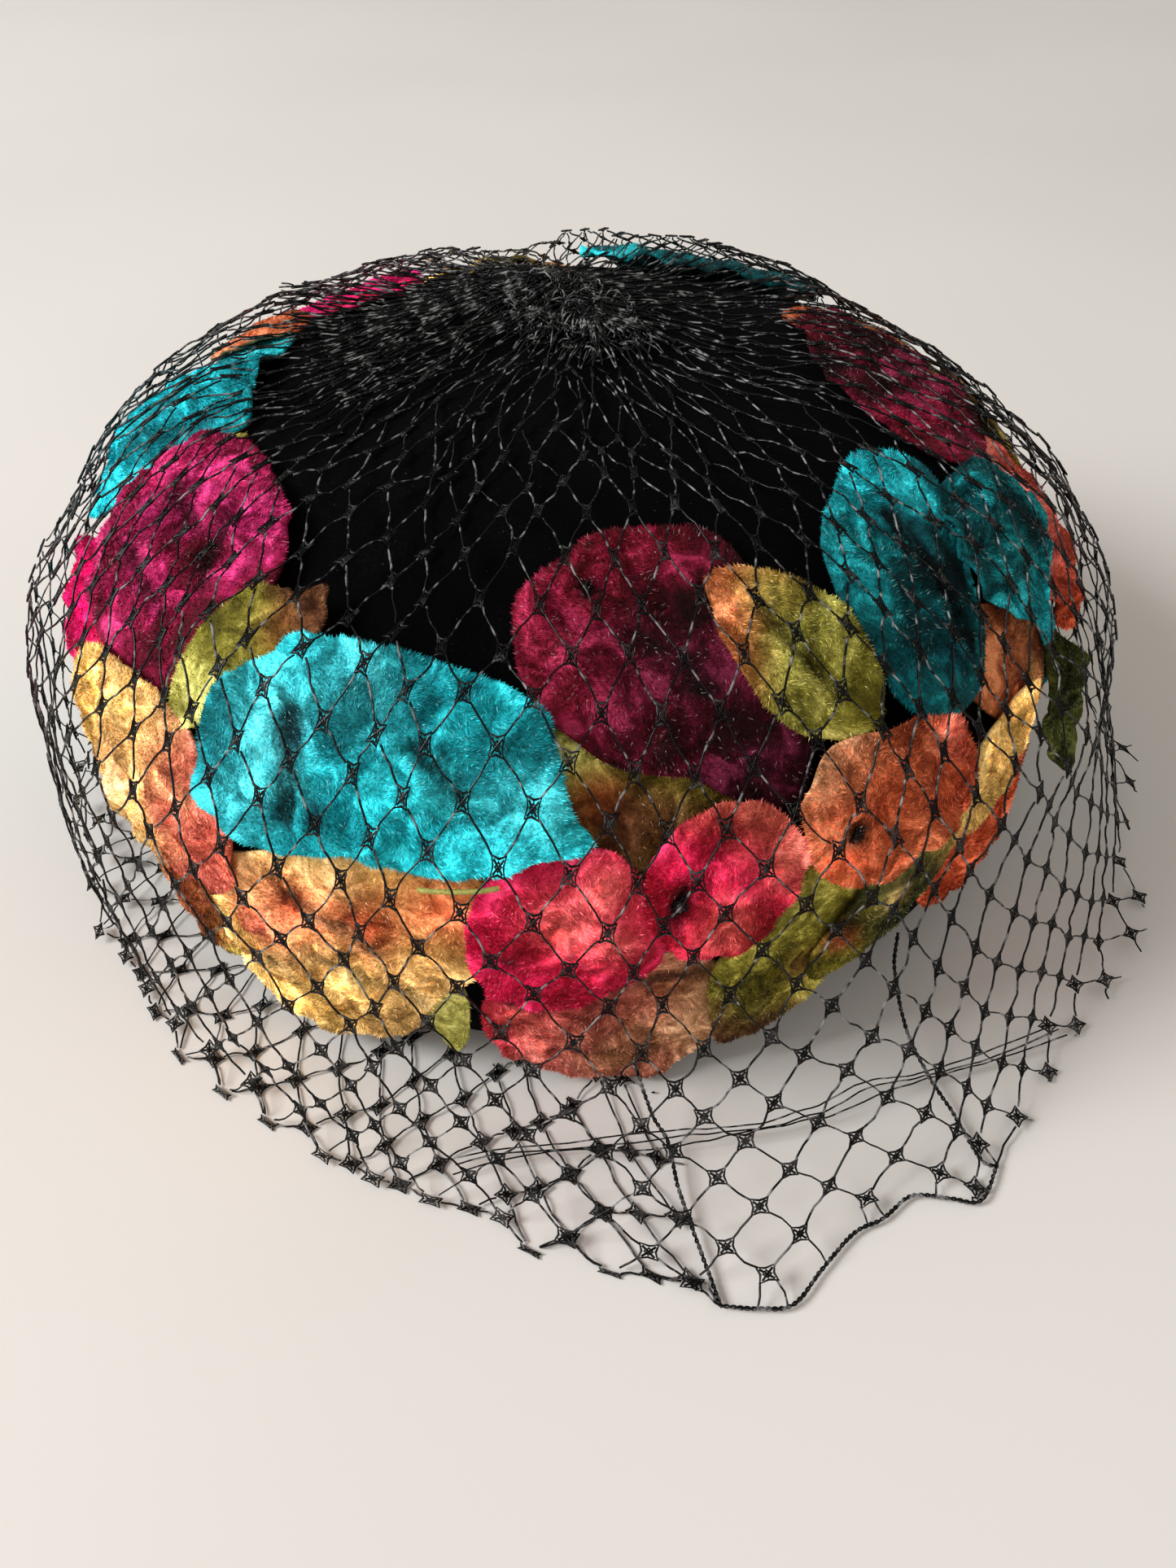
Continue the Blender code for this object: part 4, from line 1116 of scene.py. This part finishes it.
def thread_tree():
    """Threads along the edges of a mesh, wavering between their ends."""
    tree, source = new_geometry_tree("net_threads", {
        "Diameter": 0.0004, "Points": 6, "Sides": 4, "Wave": 0.0004, "Wave Length": 0.006,
        "Seed": 0})
    lines = add_node(tree, "GeometryNodeMeshToCurve", {0: source["Geometry"]})
    even = add_node(tree, "GeometryNodeResampleCurve", {"Curve": lines, "Count": source["Points"]})
    waver = add_node(tree, "ShaderNodeTexNoise", {
        "Vector": add_node(tree, "GeometryNodeInputPosition"), "W": source["Seed"],
        "Scale": maths(tree, "DIVIDE", 1.0, source["Wave Length"]), "Detail": 1.0},
        "Color", noise_dimensions="4D")
    centred = vector_maths(tree, "SUBTRACT", waver, (0.5, 0.5, 0.5))
    # The wave is 0 at both ends. Noise strays by about a quarter of its range.
    along = maths(tree, "MULTIPLY", add_node(tree, "GeometryNodeSplineParameter"), math.pi)
    reach = maths(tree, "MULTIPLY", maths(tree, "SINE", along), source["Wave"])
    offset = vector_maths(tree, "SCALE", centred, maths(tree, "MULTIPLY", reach, 4.0))
    wavy = add_node(tree, "GeometryNodeSetPosition", {"Geometry": even, "Offset": offset})
    tubes = tube(tree, wavy, maths(tree, "MULTIPLY", source["Diameter"], 0.5), source["Sides"])
    smooth = add_node(tree, "GeometryNodeSetShadeSmooth", {0: tubes})
    return end_tree(tree, source, smooth)


def knot_tree():
    """Knots of the net: horned rings with a cross and a ring in them, drawn along the strands."""
    tree, source = new_geometry_tree("net_knots", {"Knot Size": 0.0013, "Diameter": 0.0004})
    hollow, backward, forward, core = (
        maths(tree, "MULTIPLY", source["Knot Size"], share) for share in (0.5, -0.5, 0.5, 0.3))
    star = add_node(tree, "GeometryNodeCurveStar", {
        "Points": 4, "Twist": 0.0, "Outer Radius": source["Knot Size"], "Inner Radius": hollow})
    turned = add_node(tree, "GeometryNodeTransform",
                      {0: star, "Rotation": (0.0, 0.0, math.radians(45))})
    arms = [add_node(tree, "GeometryNodeCurvePrimitiveLine", {
        "Start": combined(tree, X=backward, Y=start), "End": combined(tree, X=forward, Y=end)})
        for start, end in ((forward, backward), (backward, forward))]
    ring = add_node(tree, "GeometryNodeCurvePrimitiveCircle", {"Resolution": 4, "Radius": core})
    joined = add_node(tree, "GeometryNodeJoinGeometry")
    for part in (turned, ring, *arms):
        set_inputs(joined.node, {0: part})
    shape = tube(tree, joined, maths(tree, "MULTIPLY", source["Diameter"], 0.45), 3)
    turn = faced(tree, "X", stored(tree, "across"), aligned(tree, "Z", stored(tree, "outward")))
    knots = instanced(tree, source["Geometry"], shape, turn, stored(tree, "cell"))
    return end_tree(tree, source, knots)


def loop_tree():
    """Little loops of thread that stand up out of gathered net."""
    tree, source = new_geometry_tree("net_loops", {
        "Loops per Area": 5e5, "Loop Radius": 0.002, "Diameter": 0.0004, "Seed": 0})
    points = scattered(tree, source, source["Loops per Area"])
    arc = add_node(tree, "GeometryNodeCurveArc", {
        "Resolution": 8, "Start Angle": -0.6, "Sweep Angle": 4.3, "Radius": source["Loop Radius"]})
    shape = tube(tree, arc, maths(tree, "MULTIPLY", source["Diameter"], 0.45), 3)
    turn = random_value(tree, (-0.5, -0.5, -3.14), (1.9, 0.5, 3.14), source["Seed"])
    size = random_value(tree, (0.3, 0.5, 0.5), (1.3, 1.5, 1.3), 5)
    return end_tree(tree, source, instanced(tree, points, shape, turn, size))


def grow(name, mesh, tree, **inputs):
    """A new object whose plain mesh is what a tree makes of a mesh."""
    guide = bpy.data.objects.new(name + "_guide", mesh)
    bpy.context.scene.collection.objects.link(guide)
    modifier = guide.modifiers.new("Grow", "NODES")
    modifier.node_group = tree
    for item in tree.interface.items_tree:
        key = item.name.lower().replace(" ", "_")
        if item.in_out == "INPUT" and key in inputs:
            modifier[item.identifier] = inputs[key]
    graph = bpy.context.evaluated_depsgraph_get()
    grown = bpy.data.meshes.new_from_object(guide.evaluated_get(graph),
                                            preserve_all_data_layers=True, depsgraph=graph)
    bpy.data.objects.remove(guide, do_unlink=True)
    grown.name = name
    return link_piece(name, grown)


def link_piece(name, mesh, material=None):
    """Link a named object at the origin."""
    piece = bpy.data.objects.new(name, mesh)
    if material:
        mesh.materials.append(material)
    bpy.context.scene.collection.objects.link(piece)
    return piece


# Veil


def on_gather(x, y):
    """Plan position of a point along and across the gather."""
    turn = math.radians(GATHER_TURN)
    return (GATHER_CENTER[0] + x * math.cos(turn) - y * math.sin(turn),
            GATHER_CENTER[1] + x * math.sin(turn) + y * math.cos(turn))


def edge_at(azimuth):
    """Radius and height of the veil's cut edge."""
    around = turned_from(azimuth)
    for (a, radius_a, level_a), (b, radius_b, level_b) in zip(VEIL_EDGE, VEIL_EDGE[1:]):
        if a <= around <= b:
            t = float(smooth_step((around - a) / (b - a)))
            return radius_a + (radius_b - radius_a) * t, level_a + (level_b - level_a) * t


def ring_point(azimuth, radius, height):
    """Point at an azimuth, a radius and a height."""
    angle = math.radians(azimuth)
    return radius * math.sin(angle), -radius * math.cos(angle), height


def drape(azimuth, height):
    """Clearance from the crown at which the net rests on the petals, and bulges below them."""
    rest = 0.0
    for petal in PETALS:
        if abs(turned_from(petal.azimuth, azimuth)) > 45:
            continue
        distance = float(distance_outside(petal, np.array([azimuth]), np.array([height]))[0])
        top = LOWEST_SEAT + petal.layer * LAYER_RISE + petal.puff + 0.4
        top += 0.6 * sum(STAND_OFF.get(petal.name, ()))
        rest = max(rest, top * float(smooth_step(1.15 - distance / NET_SLOPE)))
    bulge = BULGE * float(smooth_step((BULGE_HEIGHT - height) / BULGE_FALL))
    return max(rest + NET_CLEARANCE, bulge)


def drawn_aside(azimuth):
    """How many degrees the net's fullness is drawn aside near the top of the hat."""
    around = math.radians(turned_from(azimuth))
    return 11.0 * math.sin(around) if around > 0 else 7.0 * math.sin(2 * around)


def veil_line(azimuth):
    """Smooth line of the veil from the gather to its edge at an azimuth, in millimetres."""
    drawn = drawn_aside(azimuth)
    angle = math.radians(azimuth + drawn - 90.0 - GATHER_TURN)
    points = []
    for reach, wide, rise in GATHER_ROWS:
        plan = on_gather(reach * GATHER_HALVES[0] * math.cos(angle),
                         wide * GATHER_HALVES[1] * math.sin(angle))
        points.append((*plan, SURFACE.level_over(*plan) + rise))
    for height, shift in VEIL_ROWS:
        around = azimuth + drawn * float(smooth_step((height - 50.0) / 50.0))
        clearance = drape(around, height)
        behind = float(smooth_step(-math.cos(math.radians(azimuth)) * 1.5))
        clearance += RIDGE[0] * behind * float(smooth_step((height - RIDGE[1]) / RIDGE[2]))
        x, y, z = SURFACE.place(around, height, clearance)
        if shift:
            x += GATHER_CENTER[0] * shift
            y += GATHER_CENTER[1] * shift
            z = SURFACE.level_over(x, y) + clearance
        points.append((x, y, z))
    edge_radius, edge_level = edge_at(azimuth)
    side_radius, side_level = math.hypot(*points[-1][:2]), points[-1][2]
    points.append(ring_point(azimuth, side_radius + (edge_radius - side_radius) * 0.45 + 0.8,
                             edge_level + (side_level - edge_level) * 0.42))
    points.append(ring_point(azimuth, edge_radius - 3.0, edge_level + 1.5))
    points.append(ring_point(azimuth, edge_radius, edge_level))
    start, end = FOLD_ENDS
    fold = float(smooth_step((azimuth - start) / 10) * smooth_step((end - azimuth) / 4))
    if fold > 0.3:
        points.append(ring_point(azimuth, edge_radius - 1.0, max(edge_level - 1.2, 0.5)))
        points.append(ring_point(azimuth, FOLD_RADIUS, 0.5))
    else:
        beyond = 0.3 if 6.0 < azimuth < 35.0 else 2.5
        points.append(ring_point(azimuth, edge_radius + beyond, max(edge_level - 0.3, TABLE_GAP)))
    line = np.array(catmull_rom(points, 12))
    line[:, 2] = np.maximum(line[:, 2], TABLE_GAP)
    return line, lengths_along(line)


def veil_knots(columns, side, span=(-180.0, 180.0), reach=1e9, lift=0.0, phase=0.0):
    """Places of the knots: {(row, half column): point}, with rows of half-shifted columns.
    A net covers a span of azimuths and a reach from the gather."""
    knots = {}
    for half in range(2 * columns):
        azimuth = turned_from((half + phase) * 180.0 / columns)
        if not span[0] <= azimuth <= span[1]:
            continue
        bunch = noise.noise((math.sin(math.radians(azimuth)) * 6, phase + 3.0,
                             math.cos(math.radians(azimuth)) * 6))
        line, lengths = veil_line(azimuth + BUNCHING * bunch)
        s = FIRST_KNOT[0] + FIRST_KNOT[1] * noise.noise((half * 0.7, phase, 5.0))
        row = 0
        while s < min(lengths[-1], reach):
            point = np.array([np.interp(s, lengths, line[:, axis]) for axis in range(3)])
            if (row + half) % 2 == 0:
                inward = point * (1.0, 1.0, 0.0)
                normal = point / np.linalg.norm(point)
                loose = float(smooth_step((60.0 - np.linalg.norm(inward)) / 45.0))
                size, reach_out = SLOW_DRIFT
                drift = noise.noise_vector(Vector(point) / size + Vector((phase, 0, 0))) * reach_out
                size, reach_out = QUICK_DRIFT
                drift += noise.noise_vector(Vector(point) / size + Vector((9, 9, 9))) * (
                    reach_out + LOOSE_DRIFT * loose)
                drift = np.array(drift)
                drift -= FLAT_SHARE * normal * float(drift @ normal)
                place = point + drift + normal * lift
                place[2] = max(place[2], TABLE_GAP)
                knots[row, half] = place
            radius = math.hypot(point[0], point[1])
            spread = min(math.pi * radius / columns, WIDEST_SHARE * side)
            flatter, start, width = SKIRT_PULL
            pulled = side * (1 - flatter * float(smooth_step((radius - start) / width)))
            s += math.sqrt(max(pulled * pulled - spread * spread, 9.0))
            row += 1
    return knots


# Thick threads in the front of the veil, its selvage and its crease: azimuth, radius, height
FRONT_THREADS = (
    ((6.1, 96.5, 12.0), (7.4, 102.7, 6.0), (8.5, 105.9, 3.0), (8.6, 112.9, 2.0),
     (9.0, 119.7, 1.6), (9.4, 126.1, 1.2), (9.7, 131.6, 1.0)),
    ((37.4, 92.0, 16.0), (35.2, 95.5, 12.0), (33.4, 103.0, 6.0), (32.8, 110.4, 2.5),
     (32.3, 117.0, 1.6), (31.4, 125.2, 1.2), (32.1, 127.3, 1.0)),
)
SELVAGE = ((9.7, 131.6, 1.0), (11.9, 133.0, 1.0), (14.2, 133.6, 1.0), (16.8, 130.0, 1.0),
           (20.0, 126.5, 1.0), (22.4, 126.1, 1.0), (25.2, 124.8, 1.0), (27.4, 127.6, 1.0),
           (29.3, 130.3, 1.0), (32.2, 127.1, 1.0))
FOLD_LINE = ((-9.4, 109.7, 1.6), (-6.2, 107.4, 2.0), (0.0, 105.4, 3.0), (6.4, 105.4, 3.4),
             (10.7, 105.8, 3.4), (16.6, 106.3, 3.2), (22.6, 107.2, 3.0), (27.7, 107.4, 3.0),
             (32.2, 109.7, 2.6), (39.2, 113.7, 2.4), (45.4, 118.5, 2.0))
# Plies of the thick threads: how many, distance from the middle and length of a turn
PLIES = (2, 0.20, 2.0)
# Threads of the crease lie beside its line by these distances
CREASE_SHIFTS = (-0.9, 0.2, 1.1)
# Stem of a leaf that shows under the teal petal: azimuth, height, offset from the crown
STEM = ((-12.6, 48.2, 5.2), (-11.4, 48.7, 5.9), (-9.4, 49.2, 6.1), (-7.2, 49.6, 5.9),
        (-5.6, 49.9, 5.2))
SELVAGE_LINE = np.array(catmull_rom([ring_point(*place) for place in SELVAGE], 12))


def net_meshes(nets, columns, knot_size):
    """Strands of nets as edges, and their knots as points that say how they lie."""
    ends, facts = [], []
    for knots in nets:
        for (row, half), point in knots.items():
            sides = [(half + step) % (2 * columns) for step in (-1, 1)]
            below = [knots.get((row + 1, column)) for column in sides]
            above = [knots.get((row - 1, column)) for column in sides]
            for index, near in enumerate(below):
                beyond = above[1 - index]
                if near is not None:
                    way = (near - point) / np.linalg.norm(near - point)
                    ends.append((point + way * knot_size * KNOT_REACH,
                                 near - way * knot_size * KNOT_REACH))
                elif beyond is not None:
                    way = (point - beyond) / np.linalg.norm(point - beyond)
                    tip = point + way * (STUB[0] + STUB[1] * math.sin(half * 7.0 + row))
                    tip[2] = max(tip[2], TABLE_GAP)
                    reach = np.linalg.norm(SELVAGE_LINE - tip, axis=1)
                    if reach.min() < SEWN_REACH:
                        tip = SELVAGE_LINE[reach.argmin()]
                    ends.append((point + way * knot_size * KNOT_REACH, tip))
            for index in (0, 1):
                if below[index] is None and above[1 - index] is not None:
                    below[index] = 2 * point - above[1 - index]
                if above[index] is None and below[1 - index] is not None:
                    above[index] = 2 * point - below[1 - index]
            if any(near is None for near in below + above):
                continue
            across = (below[1] + above[1] - below[0] - above[0]) / 2
            down = (below[0] + below[1] - above[0] - above[1]) / 2
            outward = np.cross(down, across)
            outward /= max(np.linalg.norm(outward), 1e-6)
            if point[2] < FLAT_LEVEL:
                outward = outward * 0.3 + np.array((0.0, 0.0, 1.0))
            wide, tall = np.linalg.norm(across) / 2, np.linalg.norm(down) / 2
            size = max(math.hypot(wide, tall), 1e-6)
            facts.append((point, across / max(2 * wide, 1e-6), outward,
                          (1.41 * wide / size, 1.41 * tall / size, 1.0)))
    strands = line_mesh(ends)
    knot_points = new_mesh("knots", [fact[0] for fact in facts], [], [])
    for index, name in ((1, "across"), (2, "outward"), (3, "cell")):
        store(knot_points, name, "FLOAT_VECTOR", [fact[index] for fact in facts])
    return strands, knot_points


def line_mesh(lines):
    """Open lines, given in millimetres, as edges."""
    points, edges = [], []
    for line in lines:
        edges += [(i, i + 1) for i in range(len(points), len(points) + len(line) - 1)]
        points += list(line)
    return new_mesh("lines", points, edges, [])


def plied(points, plies, radius, pitch):
    """Lines that wind round a line, as the plies of a twisted thread."""
    line = np.array(catmull_rom(points, 40))
    lengths = lengths_along(line)
    count = int(lengths[-1] / pitch * 7)
    s = np.linspace(0, lengths[-1], count)
    line = np.stack([np.interp(s, lengths, line[:, axis]) for axis in range(3)], 1)
    way = np.gradient(line, axis=0)
    way /= np.linalg.norm(way, axis=1)[:, None]
    side = np.cross(way, (0.0, 0.0, 1.0))
    side /= np.linalg.norm(side, axis=1)[:, None]
    up = np.cross(side, way)
    turns = []
    for ply in range(plies):
        angle = 2 * math.pi * (s / pitch + ply / plies)
        turns.append(line + radius * (np.cos(angle)[:, None] * side
                                      + np.sin(angle)[:, None] * up))
    return turns


def build_crown(colors):
    """The crown: a blocked velvet shell with a rolled rim and an open underside."""
    line = np.array(catmull_rom(CROWN_PROFILE, 6))
    way = np.gradient(line, axis=0)
    way /= np.linalg.norm(way, axis=1)[:, None]
    inner = line - np.stack((-way[:, 1], way[:, 0]), 1) * CROWN_WALL
    inner = inner[(inner[:, 0] > 0.5) & (inner[:, 1] > 1.0)][::-1]
    half = CROWN_WALL / 2
    rim = [(CROWN_PROFILE[-1][0] - half + half * math.cos(a), half - half * math.sin(a))
           for a in np.linspace(0.3, math.pi - 0.3, 5)]
    profile = [tuple(p) for p in line[:-1] if p[1] > 1.4] + rim
    profile += [tuple(p) for p in inner] + [(0.0, CROWN_PROFILE[0][1] - CROWN_WALL)]
    points = [(0.0, 0.0, profile[0][1])]
    for radius, level in profile[1:-1]:
        for step in range(CROWN_SEGMENTS):
            angle = 2 * math.pi * step / CROWN_SEGMENTS
            points.append((radius * math.cos(angle), radius * math.sin(angle), level))
    points.append((0.0, 0.0, profile[-1][1]))
    faces = disc_faces(len(profile) - 2, CROWN_SEGMENTS)
    last = len(points) - 1 - CROWN_SEGMENTS
    faces += [(last + step, len(points) - 1, last + (step + 1) % CROWN_SEGMENTS)
              for step in range(CROWN_SEGMENTS)]
    mesh = new_mesh("crown_shell", points, [], faces)
    mesh.shade_smooth()
    return link_piece("crown_shell", mesh, crown_material(colors.crown))


def gather_mound():
    """The low mound over which the bunched net stands."""
    share, angle = disc_grid(*MOUND_GRID)
    points = []
    for x, y, rise in zip(share * np.cos(angle), share * np.sin(angle), 1 - share * share):
        plan = on_gather(x * (GATHER_HALVES[0] + MOUND_HEM[0]), y * (GATHER_HALVES[1] + MOUND_HEM[1]))
        points.append((*plan, SURFACE.level_over(*plan) + MOUND_SEAT + MOUND_RISE * rise))
    return new_mesh("mound", points, [], disc_faces(*MOUND_GRID))


def dent_stitches(petal, fold):
    """Short ends of thread that cross a petal's dent at odd angles."""
    azimuth, height = fold[:2]
    seat = LOWEST_SEAT + petal.layer * LAYER_RISE + petal.puff * 0.5
    stitches = []
    for end in range(6):
        way = 2.4 * end + height
        bend = math.sin(5.0 * way)
        turns = [SURFACE.place(azimuth + 0.5 * (k - 1.5) * math.cos(way) + 0.25 * bend * (k % 2),
                               height + 0.8 * (k - 1.5) * math.sin(way) + 0.4 * bend * (k % 2),
                               seat - 1.2 + 0.5 * abs(k - 1.5)) for k in range(4)]
        stitches.append(catmull_rom(turns, 5))
    return stitches


def finish_piece(piece, nodes=()):
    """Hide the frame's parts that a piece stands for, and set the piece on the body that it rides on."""
    if nodes:
        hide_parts(*nodes)
    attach(piece, BODY)


class HAT_OT_crown(bpy.types.Operator):
    """Build the velvet crown"""

    bl_idname = "hat.crown"
    bl_label = "Crown"

    def execute(self, context):
        piece = build_crown(context.scene.hat_colors)
        finish_piece(piece, ["crown"])
        return {"FINISHED"}


class HAT_OT_petals(bpy.types.Operator):
    """Build the velvet petals and leaves with their pile"""

    bl_idname = "hat.petals"
    bl_label = "Petals and leaves"

    def execute(self, context):
        colors, sizes = context.scene.hat_colors, context.scene.hat_sizes
        tree = pile_tree()
        materials = {}
        for index, petal in enumerate(PETALS):
            if petal.slot not in materials:
                middle = np.array(getattr(colors, petal.colors.split()[0]))
                tint = tuple(np.clip(middle * TINT_SHARE + TINT_LIGHT, 0, 1))
                materials[petal.slot] = velvet_material(petal.slot, tint)
            material = materials[petal.slot]
            mesh, width, length, area = petal_mesh(petal, colors, sizes)
            density = sizes.shown_pile if petal.shown else sizes.hidden_pile
            pile = grow(petal.name + "_pile", mesh.copy(), tree, tufts_per_area=density * 1e6,
                        length=sizes.pile, width=sizes.tuft, seed=index, material=material)
            sheet = link_piece(petal.name + "_cloth", mesh, material)
            solidify = sheet.modifiers.new("Thickness", "SOLIDIFY")
            solidify.thickness = sizes.cloth
            solidify.offset = -1.0
            mesh.shade_smooth()
            finish_piece(sheet, [petal.name])
            finish_piece(pile)
            width = max(width, LEAST_SHEET_SIDE)
        return {"FINISHED"}


class HAT_OT_veil(bpy.types.Operator):
    """Build the net veil with its knots"""

    bl_idname = "hat.veil"
    bl_label = "Veil"

    def execute(self, context):
        colors, sizes = context.scene.hat_colors, context.scene.hat_sizes
        # The last number is how pale the painted glints are
        material = thread_material("black_nylon_net_thread", colors.net, 0.22, 0.26)
        knot_material = thread_material("black_nylon_net_knot", colors.net, 0.30, 0.05)
        context.scene["net_material"] = material.name
        side = sizes.mesh_side / MM
        noise.seed_set(DRIFT_SEED)
        nets = [veil_knots(sizes.columns, side),
                veil_knots(sizes.columns, side, SECOND_LAYER_SPAN, SECOND_LAYER_REACH, lift=1.0,
                           phase=0.37)]
        strands, knots = net_meshes(nets, sizes.columns, sizes.knot / MM)
        net = grow("veil_net", strands, thread_tree(), diameter=sizes.thread, wave=sizes.wave,
                   points=5, material=material, seed=3)
        finish_piece(net, ["veil"])
        rings = grow("veil_knots", knots, knot_tree(), knot_size=sizes.knot,
                     diameter=sizes.thread * 1.4, material=knot_material)
        finish_piece(rings)
        return {"FINISHED"}


class HAT_OT_gather(bpy.types.Operator):
    """Build the bunched net on the crown's top"""

    bl_idname = "hat.gather"
    bl_label = "Gather"

    def execute(self, context):
        loops = grow("veil_gather_loops", gather_mound(), loop_tree(), loops_per_area=5.0e5,
                     loop_radius=2.2 * MM, diameter=context.scene.hat_sizes.thread, seed=4,
                     material=bpy.data.materials[context.scene["net_material"]])
        finish_piece(loops, ["veil_gather"])
        return {"FINISHED"}


class HAT_OT_threads(bpy.types.Operator):
    """Build the veil's selvage and thick threads, the stitches and the stem"""

    bl_idname = "hat.threads"
    bl_label = "Threads"

    def execute(self, context):
        net = bpy.data.materials[context.scene["net_material"]]
        wire = stem_material(context.scene.hat_colors.lime)
        tree = thread_tree()
        plies = [ply for thread in (*FRONT_THREADS, SELVAGE)
                 for ply in plied([ring_point(*place) for place in thread], *PLIES)]
        petals = {petal.name: petal for petal in PETALS}
        stitches = [stitch for name, folds in FOLDS.items() for fold in folds
                    if fold[:2] == fold[2:4] for stitch in dent_stitches(petals[name], fold)]
        stem = catmull_rom([SURFACE.place(*place) for place in STEM], 8)
        creases = [catmull_rom([ring_point(a, r + shift + 0.5 * math.sin(a * 0.35 + shift * 5), z)
                                for a, r, z in FOLD_LINE], 8) for shift in CREASE_SHIFTS]
        # Thickness in millimetres, points on a line and sides of a thread
        for name, lines, thick, points, sides, wave, seed, material, slot in (
                ("veil_selvage", plies, 0.38, 300, 4, 0.0, 0, net, "veil_net"),
                ("petal_stitches", stitches, 0.3, 20, 4, 0.0, 0, net, "veil_net"),
                ("flower_stem", [stem], 0.8, 24, 6, 0.0, 0, wire, "olive_velvet"),
                ("veil_fold_line", creases, 0.3, 90, 4, 0.4, 8, net, "veil_net")):
            piece = grow(name, line_mesh(lines), tree, diameter=thick * MM, wave=wave * MM,
                         points=points, sides=sides, seed=seed, material=material)
            finish_piece(piece)
        return {"FINISHED"}


class HAT_OT_stage(bpy.types.Operator):
    """Build the floor, the light and the camera"""

    bl_idname = "hat.stage"
    bl_label = "Stage"

    def execute(self, context):
        scene = context.scene
        corners = [(x * FLOOR_HALF, y * FLOOR_HALF, 0) for x, y in ((-1, -1), (1, -1), (1, 1), (-1, 1))]
        mesh = bpy.data.meshes.new("floor")
        mesh.from_pydata(corners, [], [(0, 1, 2, 3)])
        floor = link_piece("floor", mesh, floor_material())
        for name, place, size, power, color in LAMPS:
            data = bpy.data.lights.new(name, "AREA")
            data.shape = "SQUARE"
            data.size = size
            data.energy = power
            data.color = color
            lamp = bpy.data.objects.new(name, data)
            lamp.location = place
            lamp.rotation_euler = (-Vector(place)).to_track_quat("-Z", "Y").to_euler()
            scene.collection.objects.link(lamp)
        world = bpy.data.worlds.new("soft_room")
        world.use_nodes = True
        set_inputs(world.node_tree.nodes["Background"],
                   {"Color": (*ROOM_COLOR, 1.0), "Strength": ROOM_STRENGTH})
        scene.world = world
        data = bpy.data.cameras.new("camera")
        data.sensor_fit = "AUTO"
        data.sensor_width = 36.0
        data.lens = LENS
        camera = bpy.data.objects.new("camera", data)
        elevation = math.radians(CAMERA_ELEVATION)
        camera.location = (CAMERA_AIM[0], CAMERA_AIM[1] - CAMERA_DISTANCE * math.cos(elevation),
                           CAMERA_DISTANCE * math.sin(elevation))
        camera.rotation_euler = (math.radians(90.0 - CAMERA_ELEVATION), 0.0, 0.0)
        scene.collection.objects.link(camera)
        scene.camera = camera
        scene.view_settings.view_transform = "Standard"
        return {"FINISHED"}


class HAT_PT_panel(bpy.types.Panel):
    """Buttons and values of the hat"""

    bl_idname = "HAT_PT_panel"
    bl_label = "Pillbox Hat"
    bl_space_type = "VIEW_3D"
    bl_region_type = "UI"
    bl_category = "Hat"

    def draw(self, context):
        for operator in OPERATORS:
            self.layout.operator(operator.bl_idname)
        for values in (context.scene.hat_sizes, context.scene.hat_colors):
            for name in values.__annotations__:
                self.layout.prop(values, name)


OPERATORS = (HAT_OT_stage, HAT_OT_crown, HAT_OT_petals, HAT_OT_veil, HAT_OT_gather,
             HAT_OT_threads)
CLASSES = (HatColors, HatSizes, *OPERATORS, HAT_PT_panel)


def register():
    """Register the classes and the scene's values."""
    for item in CLASSES:
        bpy.utils.register_class(item)
    bpy.types.Scene.hat_colors = PointerProperty(type=HatColors)
    bpy.types.Scene.hat_sizes = PointerProperty(type=HatSizes)


def unregister():
    """Take the classes and the values away."""
    del bpy.types.Scene.hat_colors
    del bpy.types.Scene.hat_sizes
    for item in reversed(CLASSES):
        bpy.utils.unregister_class(item)


def main():
    """Build the hat."""
    register()
    bpy.ops.hat.stage()
    bpy.ops.hat.crown()
    bpy.ops.hat.petals()
    bpy.ops.hat.veil()
    bpy.ops.hat.gather()
    bpy.ops.hat.threads()


if __name__ == "__main__":
    main()
